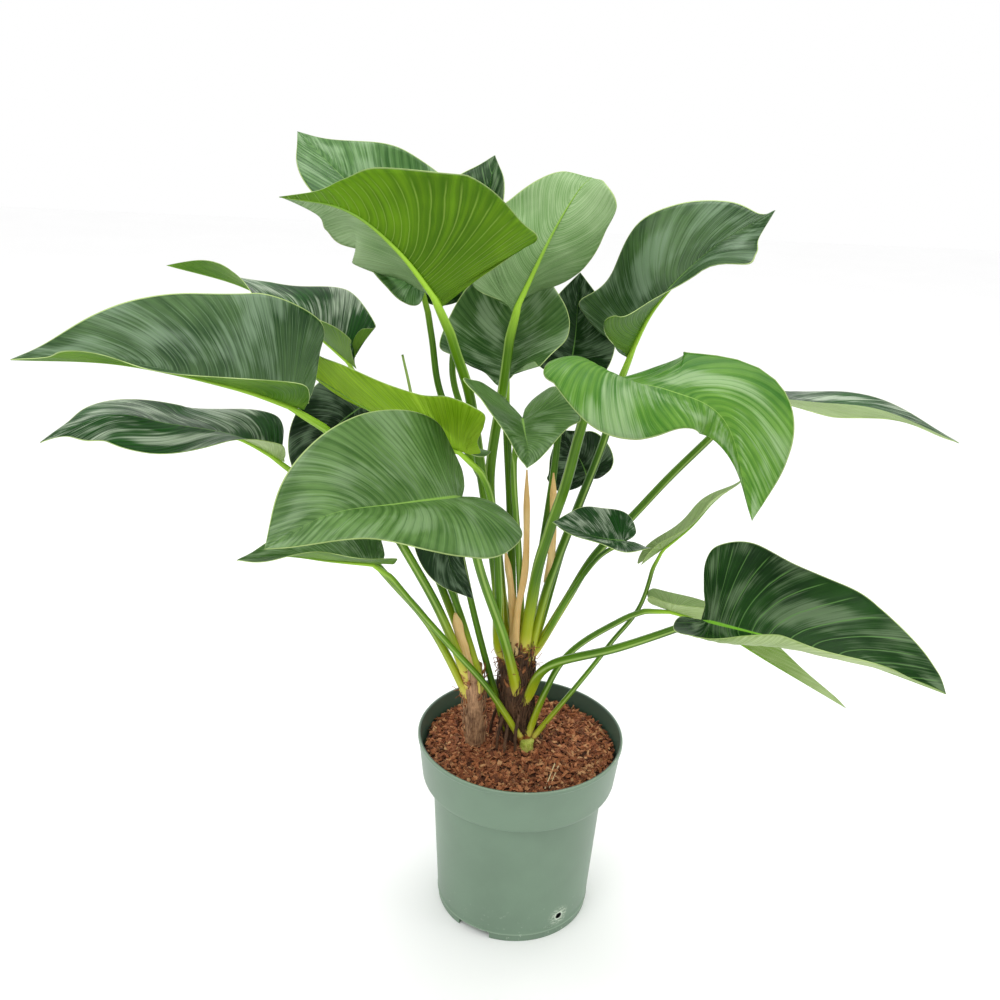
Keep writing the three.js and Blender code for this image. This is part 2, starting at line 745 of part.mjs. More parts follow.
// A point of half a blade: s runs along the margin from the hinge to the tip, v from midrib to margin
function bladePoint(leaf, half, side, frame, s, v) {
  const outline = half.outline ?? HEART.map(([a, b]) => [a < 0 ? a * half.lobe : a, b]);
  const [edgeAlong, edgeAcross] = through(outline, s);
  const root = ribRoot(s);
  const a = root + (edgeAlong - root) * v ** RIB_SWEEP;
  const b = Math.max(edgeAcross, 0) * v;
  const { point, up, across } = frame.at(a);
  const fold = THREE.MathUtils.degToRad(blend(half.fold, a));
  const curl = THREE.MathUtils.degToRad(blend(half.curl ?? [0, 0, 0], a)) || 1e-4;
  const bow = half.width / curl;
  const out = bow * (Math.sin(fold + curl * b) - Math.sin(fold));
  const lift = -bow * (Math.cos(fold + curl * b) - Math.cos(fold));
  const [height, waves, shift] = leaf.wave;
  const ripple = height * v ** 2 * Math.sin(2 * Math.PI * (waves * s + shift)) * Math.sin(Math.PI * s) ** 0.5;
  return point.addScaledVector(across, side * out).addScaledVector(up, lift + ripple);
}

// The blade of a leaf: two halves that share the midrib, thicker along it
function bladeSolid(leaf, frame) {
  const { ribs, columns } = leaf.mesh;
  const points = [];
  const rootOf = [];
  for (let i = 0; i <= ribs; i += 1) {
    rootOf.push(points.push(bladePoint(leaf, leaf.right, 1, frame, i / ribs, 0)) - 1);
  }
  const triangles = [];
  for (const [half, side] of [[leaf.right, 1], [leaf.left, -1]]) {
    const index = (i, j) => (j === 0 || i === 0 || i === ribs ? rootOf[i] : grid[i][j]);
    const grid = Array.from({ length: ribs + 1 }, () => []);
    for (let i = 1; i < ribs; i += 1) {
      for (let j = 1; j <= columns; j += 1) {
        grid[i][j] = points.push(bladePoint(leaf, half, side, frame, i / ribs, j / columns)) - 1;
      }
    }
    for (let i = 0; i < ribs; i += 1) {
      for (let j = 0; j < columns; j += 1) {
        const a = index(i, j);
        const b = index(i + 1, j);
        const c = index(i + 1, j + 1);
        const d = index(i, j + 1);
        for (const triangle of [[a, b, c], [a, c, d]]) {
          if (new Set(triangle).size === 3) {
            triangles.push(side > 0 ? triangle.reverse() : triangle);
          }
        }
      }
    }
  }
  const half = BLADE_THICKNESS / 2;
  const rib = (i) => RIB_DEPTH[0] + (RIB_DEPTH[1] - RIB_DEPTH[0]) * ribRoot(i / ribs) ** MIDRIB_THINNING;
  return thicken(points, triangles, () => half, (i) => (i <= ribs ? half + rib(i) * leaf.ribScale : half));
}

// The stalk of a leaf, from inside its stem to just under the hinge of the blade
function stalkSolid(leaf, frame) {
  const hinge = new THREE.Vector3(...leaf.midrib[0])
    .addScaledVector(frame.along, HINGE_REACH)
    .addScaledVector(frame.up, -STALK_SINK * leaf.radius[1]);
  const stem = STEMS[leaf.stem];
  const [x, y, z] = leaf.stalk[0];
  const [cx, cy] = stemCentre(stem, z);
  const root = [
    x + (cx - x) * STALK_ROOT_DEPTH,
    y + (cy - y) * STALK_ROOT_DEPTH,
    Math.max(z - ROOT_DROP, SOIL_TOP + SOIL_CLEAR),
  ];
  const [base, end] = leaf.radius;
  const flare = (t) => 1 + (STALK_FLARE - 1) * Math.max(0, 1 - t / STALK_FLARE_LENGTH) ** 2;
  const radius = (t) => (base + (end - base) * t) * flare(t);
  const path = [root, ...leaf.stalk, hinge.toArray()];
  return (more = 0) => tube(path, (t) => radius(t) + more);
}

// Middle of a stem at a height
function stemCentre(stem, z) {
  const { path } = stem;
  const top = path.length - 1;
  const i = Math.min(Math.max(path.findIndex((p) => p[2] > z), 1), top);
  const f = Math.min(Math.max((z - path[i - 1][2]) / (path[i][2] - path[i - 1][2]), 0), 1);
  return [0, 1].map((k) => path[i - 1][k] + (path[i][k] - path[i - 1][k]) * f);
}

// A stem with the scars of old leaves as shallow rings, and its roots, if it has any
function stemSolid(stem, more = 0) {
  const [x, y] = stem.path[0];
  const [topX, topY, topZ] = stem.path[stem.path.length - 1];
  const foot = [x, y, SOIL_TOP - STEM_DEPTH - more];
  const path = [foot, ...stem.path.slice(0, -1), [topX, topY, topZ + more]];
  const radius = (t) => {
    const plain = stem.radius[0] + (stem.radius[1] - stem.radius[0]) * t;
    return plain * (1 + stem.rings.height * Math.sin(2 * Math.PI * stem.rings.count * t)) + more;
  };
  const trunk = tube(path, radius, { sides: STEM_SIDES, step: STEM_STEP });
  const thin = (t) => ROOT_RADIUS * (1 - 0.5 * t) + more;
  const root = (points) => tube(points, thin, { sides: ROOT_SIDES, step: ROOT_STEP });
  return stem.roots.reduce((whole, points) => whole.add(root(points)), trunk);
}

// A round of holes or notches: one shape turned to each angle about the pot's axis
function turned(geometry, degrees) {
  const copy = geometry.clone();
  copy.rotateZ(THREE.MathUtils.degToRad(degrees));
  return solidOf(copy);
}

function potSolid() {
  const foot = BASE_RADIUS - FOOT_INSET;
  const collarTop = POT_HEIGHT - LIP_HEIGHT;
  const under = FOOT_HEIGHT;
  const profile = [
    [0, 0], [DISC_RADIUS, 0], [DISC_RADIUS + DISC_SLOPE, CHANNEL_HEIGHT],
    [foot - FOOT_WIDTH - 1, CHANNEL_HEIGHT], [foot - FOOT_WIDTH, 0], [foot, 0], [foot, under],
    [BASE_RADIUS, under + 0.6], [BODY_TOP_RADIUS, COLLAR_BOTTOM - 2],
    [COLLAR_RADIUS - STEP_ROUND, COLLAR_BOTTOM - 1], [COLLAR_RADIUS, COLLAR_BOTTOM + 3],
    [RIM_RADIUS - LIP_OUT, collarTop], [RIM_RADIUS, collarTop + 2],
    [RIM_RADIUS, POT_HEIGHT], [RIM_RADIUS - WALL - 0.6, POT_HEIGHT],
    [COLLAR_RADIUS - WALL, COLLAR_BOTTOM + STEP_ROUND],
    [BODY_TOP_RADIUS - WALL, COLLAR_BOTTOM - STEP_ROUND],
    [BASE_RADIUS - WALL, CHANNEL_HEIGHT + FLOOR], [DISC_RADIUS + DISC_SLOPE - FLOOR, CHANNEL_HEIGHT + FLOOR],
    [DISC_RADIUS - FLOOR, FLOOR], [0, FLOOR],
  ];
  let pot = solidOf(uprightLathe(profile, POT_SEGMENTS));
  const notch = new THREE.BoxGeometry(FOOT_NOTCH.width, FOOT_NOTCH.depth, 2 * FOOT_NOTCH.height);
  notch.translate(0, -foot, 0);
  for (const turn of FOOT_NOTCH.turns) {
    pot = pot.subtract(turned(notch, turn));
  }
  const drain = new THREE.CylinderGeometry(FLOOR_HOLES.radius, FLOOR_HOLES.radius, 8 * FLOOR, HOLE_SIDES);
  drain.rotateX(Math.PI / 2);
  drain.translate(0, -FLOOR_HOLES.at, CHANNEL_HEIGHT + FLOOR / 2);
  for (let i = 0; i < FLOOR_HOLES.count; i += 1) {
    pot = pot.subtract(turned(drain, ((i + 0.5) * 360) / FLOOR_HOLES.count));
  }
  const side = new THREE.CylinderGeometry(SIDE_HOLE.radius, SIDE_HOLE.radius, 8 * WALL, HOLE_SIDES);
  side.translate(0, -BASE_RADIUS, SIDE_HOLE.height);
  return pot.subtract(turned(side, SIDE_HOLE.turn));
}

// A lathe whose axis is Z, closed on the axis
function uprightLathe(profile, segments) {
  const lathe = new THREE.LatheGeometry(profile.map(([r, z]) => new THREE.Vector2(r, z)), segments);
  lathe.rotateX(Math.PI / 2);
  return lathe;
}

// Height of the soil's surface: a low dome with chips as bumps
function soilHeight(x, y) {
  const r = Math.hypot(x, y) / COLLAR_RADIUS;
  const bumps = Math.sin(0.31 * x + 0.9) * Math.cos(0.27 * y) + 0.6 * Math.sin(0.53 * y - 0.21 * x);
  return SOIL_TOP + SOIL_DOME * (1 - r * r) + SOIL_RELIEF * bumps;
}

// The soil, a closed body inside the pot: its top is a round grid of bumps
function soilSolid() {
  const wallAt = (z) => {
    const low = BASE_RADIUS + ((BODY_TOP_RADIUS - BASE_RADIUS) * z) / COLLAR_BOTTOM;
    return low - WALL - SOIL_SLACK;
  };
  const collarSlope = (RIM_RADIUS - COLLAR_RADIUS) / (POT_HEIGHT - COLLAR_BOTTOM);
  const topRadius = COLLAR_RADIUS + collarSlope * (SOIL_TOP - COLLAR_BOTTOM) - WALL - SOIL_SLACK;
  const floor = CHANNEL_HEIGHT + FLOOR + GAP;
  const layers = [
    [DISC_RADIUS - FLOOR - 2, FLOOR + GAP], [DISC_RADIUS + 2 - FLOOR, floor], [wallAt(floor), floor],
    [wallAt(COLLAR_BOTTOM - STEP_ROUND), COLLAR_BOTTOM - STEP_ROUND],
    [COLLAR_RADIUS - WALL - 1, COLLAR_BOTTOM + STEP_ROUND],
  ];
  const points = [new THREE.Vector3(0, 0, FLOOR + GAP)];
  const ring = (r, height) => {
    for (let k = 0; k < SOIL_SEGMENTS; k += 1) {
      const turn = (2 * Math.PI * k) / SOIL_SEGMENTS;
      const [x, y] = [r * Math.cos(turn), r * Math.sin(turn)];
      points.push(new THREE.Vector3(x, y, height(x, y)));
    }
  };
  layers.forEach(([r, z]) => ring(r, () => z));
  for (let i = SOIL_RINGS; i > 0; i -= 1) {
    ring((topRadius * i) / SOIL_RINGS, soilHeight);
  }
  points.push(new THREE.Vector3(0, 0, soilHeight(0, 0)));
  const rows = layers.length + SOIL_RINGS;
  const triangles = [];
  for (let k = 0; k < SOIL_SEGMENTS; k += 1) {
    const next = (k + 1) % SOIL_SEGMENTS;
    triangles.push([0, 1 + next, 1 + k]);
    for (let i = 0; i < rows - 1; i += 1) {
      const a = 1 + i * SOIL_SEGMENTS + k;
      const b = 1 + i * SOIL_SEGMENTS + next;
      triangles.push([a, b, b + SOIL_SEGMENTS], [a, b + SOIL_SEGMENTS, a + SOIL_SEGMENTS]);
    }
    const edge = 1 + (rows - 1) * SOIL_SEGMENTS;
    triangles.push([edge + k, edge + next, points.length - 1]);
  }
  return solid(points, triangles);
}

function material(name, colour, roughness) {
  const made = new THREE.MeshStandardMaterial({ color: colour, roughness, metalness: 0 });
  made.name = name;
  return made;
}

const LOOK = {
  pot: material("sage_plastic", 0x7f9b84, 0.55),
  soil: material("bark_chips", 0x6b3f2a, 0.95),
  bark: material("brown_bark", 0x5f4a36, 0.9),
  darkBark: material("dark_fibre", 0x2e231a, 0.95),
  crown: material("pale_crown", 0xb7c48a, 0.6),
  leaf: material("green_leaf", 0x2f6b3a, 0.4),
  young: material("young_leaf", 0x7fae54, 0.5),
  sheath: material("dry_sheath", 0xcfa567, 0.85),
};

const plant = new THREE.Group();

function place(name, shape, look) {
  const mesh = shape.getMesh();
  const geometry = new THREE.BufferGeometry();
  geometry.setAttribute("position", new THREE.BufferAttribute(new Float32Array(mesh.vertProperties), 3));
  geometry.setIndex(new THREE.BufferAttribute(new Uint32Array(mesh.triVerts), 1));
  geometry.computeVertexNormals();
  const part = new THREE.Mesh(geometry, look);
  part.name = name;
  plant.add(part);
}

// Stems first. Everything that grows from them, or stands in the soil, is cut to meet them.
const stems = Object.values(STEMS);
const stemCuts = stems.map((stem) => stemSolid(stem, GAP));
stems.forEach((stem, i) => {
  const clear = stemCuts.slice(0, i).reduce((shape, cut) => shape.subtract(cut), stemSolid(stem));
  place(stem.name, largest(clear), stem.look());
});

// Leaves, each cut clear of the stems and of the stalks placed before it where they crowd
const taken = [];

function cutClear(shape) {
  const free = stemCuts.reduce((rest, cut) => rest.subtract(cut), shape);
  const crowded = taken.filter((other) => other.body.intersect(free).volume() > 0);
  return largest(crowded.reduce((rest, other) => rest.subtract(other.cut), free));
}

for (const leaf of LEAVES) {
  const frame = midribFrame(leaf);
  const stalk = stalkSolid(leaf, frame);
  const body = cutClear(bladeSolid(leaf, frame).add(stalk()));
  taken.push({ body, cut: stalk(GAP) });
  place(leaf.name, body, LOOK.leaf);
}

for (const strip of STRIPS) {
  const [base, end] = strip.radius;
  const radius = (t) => (base + (end - base) * t) * Math.sin(Math.PI * (0.15 + 0.7 * t)) ** 0.5;
  const shape = (more) => tube(strip.path, (t) => radius(t) + more, { sides: 8, step: 22, flat: strip.flat });
  const body = cutClear(shape(0));
  taken.push({ body, cut: shape(GAP) });
  place(strip.name, body, strip.look());
}

const soil = stemCuts.reduce((rest, cut) => rest.subtract(cut), soilSolid());
place("soil", soil, LOOK.soil);
place("pot", potSolid(), LOOK.pot);

export default plant;
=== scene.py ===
"""A potted green beauty philodendron, dressed over its solids.

Lengths in the tables are millimetres, with +Z up, the front of the plant towards -Y and the origin in
the middle of the pot's base. Colours are red, green and blue from 0 to 255.
"""

import math
import random

import bmesh
import bpy
import numpy as np
from mathutils import Matrix, Vector


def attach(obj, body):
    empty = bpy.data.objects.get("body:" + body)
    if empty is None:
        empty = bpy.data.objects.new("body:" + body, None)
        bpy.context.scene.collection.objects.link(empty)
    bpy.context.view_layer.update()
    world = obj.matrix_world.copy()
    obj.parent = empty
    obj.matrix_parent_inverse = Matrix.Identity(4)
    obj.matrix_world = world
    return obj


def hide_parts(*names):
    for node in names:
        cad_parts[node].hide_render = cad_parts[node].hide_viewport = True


bl_info = {
    "name": "Potted philodendron",
    "version": (1, 0, 0),
    "blender": (4, 5, 0),
    "location": "View3D > Sidebar > Philodendron",
    "description": "Builds a potted philodendron: pot, soil, stems, leaves and studio stage",
    "category": "Object",
}

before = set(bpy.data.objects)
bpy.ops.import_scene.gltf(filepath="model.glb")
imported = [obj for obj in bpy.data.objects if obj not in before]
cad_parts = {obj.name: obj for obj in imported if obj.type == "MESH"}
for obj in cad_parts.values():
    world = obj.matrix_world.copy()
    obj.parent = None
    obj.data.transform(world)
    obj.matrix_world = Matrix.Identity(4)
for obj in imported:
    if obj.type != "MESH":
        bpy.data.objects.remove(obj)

MM = 0.001
WELD = 0.01 * MM
BLADE_WELD = 0.05 * MM
SEED = 7
TO_FRONT = (0.0, -1.0, 0.0)
STRAND_LEAD = (0.3, -1, 0.2)

# Pot
RIM_RADIUS = 120
POT_HEIGHT = 230
WALL = 2.6
WALL_ROWS = 20
POT_SEGMENTS = 144
COLLAR_BOTTOM = 172
COLLAR_RADIUS = 113
BODY_TOP_RADIUS = 101
BASE_RADIUS = 92
FOOT_HEIGHT = 9
FOOT_INSET = 0.8
FOOT_WIDTH = 5
FOOT_TURNS = (-30, 150)
FOOT_CUT = (42, 30, 8.2)
FLOOR_HEIGHT = 6
DISC_RADIUS = 34
DISC_SLOPE = 3
DRAIN_COUNT = 6
DRAIN_RADIUS = 4.5
DRAIN_REACH = 62
SIDE_HOLE_TURN = 36
SIDE_HOLE_HEIGHT = 27
SIDE_HOLE_RADIUS = 3.5
SHARP_EDGE = 38

# Soil, and the spans from which its chips' lengths, widths and thicknesses are drawn
SOIL_TOP = 209
SOIL_DOME = 7
SOIL_RELIEF = 1.2
SOIL_SLACK = 1.2
SOIL_RINGS = 36
SOIL_SEGMENTS = 120
BED_DROP = 1.5
SOIL_BOTTOM = 12
SOIL_BOTTOM_RADIUS = 80
SOIL_SHOULDER = 160
SOIL_EDGE = 182
SOIL_FLAT = 205
CHIP_KINDS = 60
CHIP_SIZES = ((4.0, 10.5), (2.2, 4.8), (0.7, 1.6))
CHIP_REACH = RIM_RADIUS - 7 - WALL
CHIP_TILT = 0.45
CHIP_LIFTS = (-1.2, 2.0)

# Stalks: their flare at the foot, the neck before the hinge, and the midrib that they go on as. Slim is
# the share of its solid's radius that a stalk shows.
STALK_FLARE = 1.35
FLARE_SHARE = 0.2
STALK_SLIM = 0.84
NECK_SHARE = 0.07
NECK_DEPTH = 0.18
HINGE_SLIM = 0.69
HINGE_BLEND = 0.06
MIDRIB_START = 0.48
MIDRIB_TAPER = 1.4
MIDRIB_TIP = 0.3
MIDRIB_SINK = 0.9
MIDRIB_STEPS = 60
STALK_SIDES = 12
STALK_STEP = 6.0
FOOT_REACH = 0.7
ROOT_DROP = 24
SOIL_CLEAR = 14

# Blades: columns in each half and rows of a large and a small one, how the side veins bunch at the
# hinge, how strongly they sweep towards the tip as they near the margin, the depth of the relief, and
# how much duller light shines through where the green is deep
LARGE_GRID = (22, 128)
SMALL_GRID = (16, 96)
SPINE_STEPS = 200
HINGE_SHARE = 0.3
HINGE_SPREAD = 0.03
RIB_BUNCHING = 2.4
SWEEP = 1.6
BLADE_RELIEF = 0.35
GLOW_DIMMING = 0.75

# Stage: the camera's place, its pitch and roll in degrees, and the lens. Each lamp has a name, a place
# in metres, a width in metres and a power in watts, and all point at one spot.
CAMERA_PLACE = (-36, -1104, 955)
CAMERA_PITCH = 21.5
CAMERA_ROLL = 2.55
CAMERA_LENS = 39.6
CAMERA_SENSOR = 36
LAMP_TARGET = (0, 0, 0.5)
LAMPS = (
    ("key_lamp", (-0.9, -1.3, 2.3), 1.4, 15),
    ("side_lamp", (1.8, -0.6, 1.6), 1.2, 6),
    ("top_lamp", (0.1, 0.5, 2.6), 1.6, 22),
)

# Colours of a blade's two faces: deep and light green, side veins and midrib, painted sheen with its
# strength (patches of painted reflection), and how the face shines, lets light through and shows its
# streaks and veins
PALE_EDGE = (184, 208, 132)
UPPER_FACES = {
    "mid": dict(
        deep=(46, 88, 18), light=(114, 150, 84), vein=(72, 114, 50), rib=(142, 186, 84),
        painted_sheen=((152, 178, 136), 0.5),
    ),
    "glossy": dict(
        deep=(16, 72, 8), light=(108, 150, 86), vein=(76, 122, 60), rib=(142, 186, 84),
        painted_sheen=((172, 202, 158), 0.55), rough=0.34, shine=0.2, streaky=0.1,
    ),
    "banded": dict(
        deep=(6, 52, 2), light=(92, 128, 70), vein=(84, 124, 62), rib=(120, 166, 72),
        painted_sheen=((156, 180, 142), 0.65), rough=0.32, shine=0.15, share=0.12, streaky=0.15, line=0.6,
    ),
    "grey": dict(
        deep=(22, 56, 20), light=(82, 112, 66), vein=(98, 130, 84), rib=(118, 160, 72),
        painted_sheen=((134, 158, 130), 0.6), rough=0.34, shine=0.2, share=0.15, streaky=0.1, line=0.6,
    ),
    "dark": dict(
        deep=(2, 34, 2), light=(28, 66, 18), vein=(92, 138, 66), rib=(112, 172, 44),
        painted_sheen=((112, 134, 100), 0.7), rough=0.3, shine=0.1, share=0.1, width=0.045, veins=20.0,
        line=0.75,
    ),
    # Painted shade: the deep look's near-black greens stand in for leaves that lie in shadow behind the
    # others.
    "deep": dict(
        deep=(2, 20, 4), light=(24, 52, 20), vein=(40, 70, 40), rib=(90, 130, 60),
        painted_sheen=((112, 134, 106), 0.7), rough=0.26, shine=0.12, share=0.06,
    ),
    # Its silver streaks are painted sheen: painted reflection laid strongly along the streaks.
    "streaked": dict(
        deep=(2, 40, 1), light=(22, 82, 12), vein=(26, 70, 20), rib=(96, 140, 60),
        painted_sheen=((190, 204, 180), 0.9), rough=0.3, shine=0.12, share=0.06, streaky=0.9,
    ),
    "bright": dict(
        deep=(44, 112, 4), light=(122, 170, 64), vein=(84, 142, 44), rib=(160, 204, 96),
        painted_sheen=((180, 208, 158), 0.65), streaky=0.1, share=0.35, through=(110, 190, 20),
    ),
    "fresh": dict(
        deep=(132, 160, 88), light=(180, 202, 140), vein=(192, 212, 152), rib=(176, 206, 110),
        share=0.35,
    ),
}
LOWER_FACES = {
    # Painted light: bright yellow-green that stands in for light shining through the underside from
    # behind.
    "glowing": dict(
        deep=(80, 130, 2), light=(142, 186, 30), vein=(178, 212, 90), rib=(156, 214, 36),
        share=0.55, through=(142, 206, 8), width=0.09, veins=46.0, line=0.65,
    ),
    # Painted light: brighter still, for an underside that lies in shade but shows light shining through
    # it.
    "lit": dict(
        deep=(150, 214, 2), light=(214, 246, 80), vein=(214, 240, 70), rib=(210, 236, 80),
        share=0.6, through=(225, 255, 10),
    ),
    "pale": dict(
        deep=(96, 140, 66), light=(168, 196, 144), vein=(182, 210, 156), rib=(150, 205, 50),
        share=0.2, through=(110, 170, 50),
    ),
    "leafy": dict(
        deep=(60, 118, 2), light=(128, 172, 50), vein=(150, 190, 96), rib=(150, 205, 50),
        share=0.4, through=(130, 195, 20),
    ),
    "milky": dict(
        deep=(122, 158, 58), light=(200, 220, 158), vein=(200, 218, 164), rib=(170, 210, 90),
        share=0.25, through=(150, 200, 70),
    ),
}

# Browns of the soil's bed and of its chips, each as a place from 0 to 1 and a colour
COIR_BROWNS = ((0.0, (46, 20, 8)), (1.0, (84, 44, 22)))
CHIP_BROWNS = (
    (0.0, (74, 34, 12)), (0.3, (136, 74, 40)), (0.6, (182, 108, 64)), (0.85, (214, 140, 92)),
    (1.0, (240, 190, 136)),
)

# The outline of half a blade, as (along, across) points from the hinge round to the tip. Along is in
# midrib lengths, behind the hinge where it is negative, and across is in half widths.
HEART = (
    (0, 0), (-0.09, 0.12), (-0.17, 0.34), (-0.15, 0.6), (-0.04, 0.84), (0.14, 0.98),
    (0.34, 0.97), (0.56, 0.78), (0.76, 0.47), (0.91, 0.18), (1, 0),
)

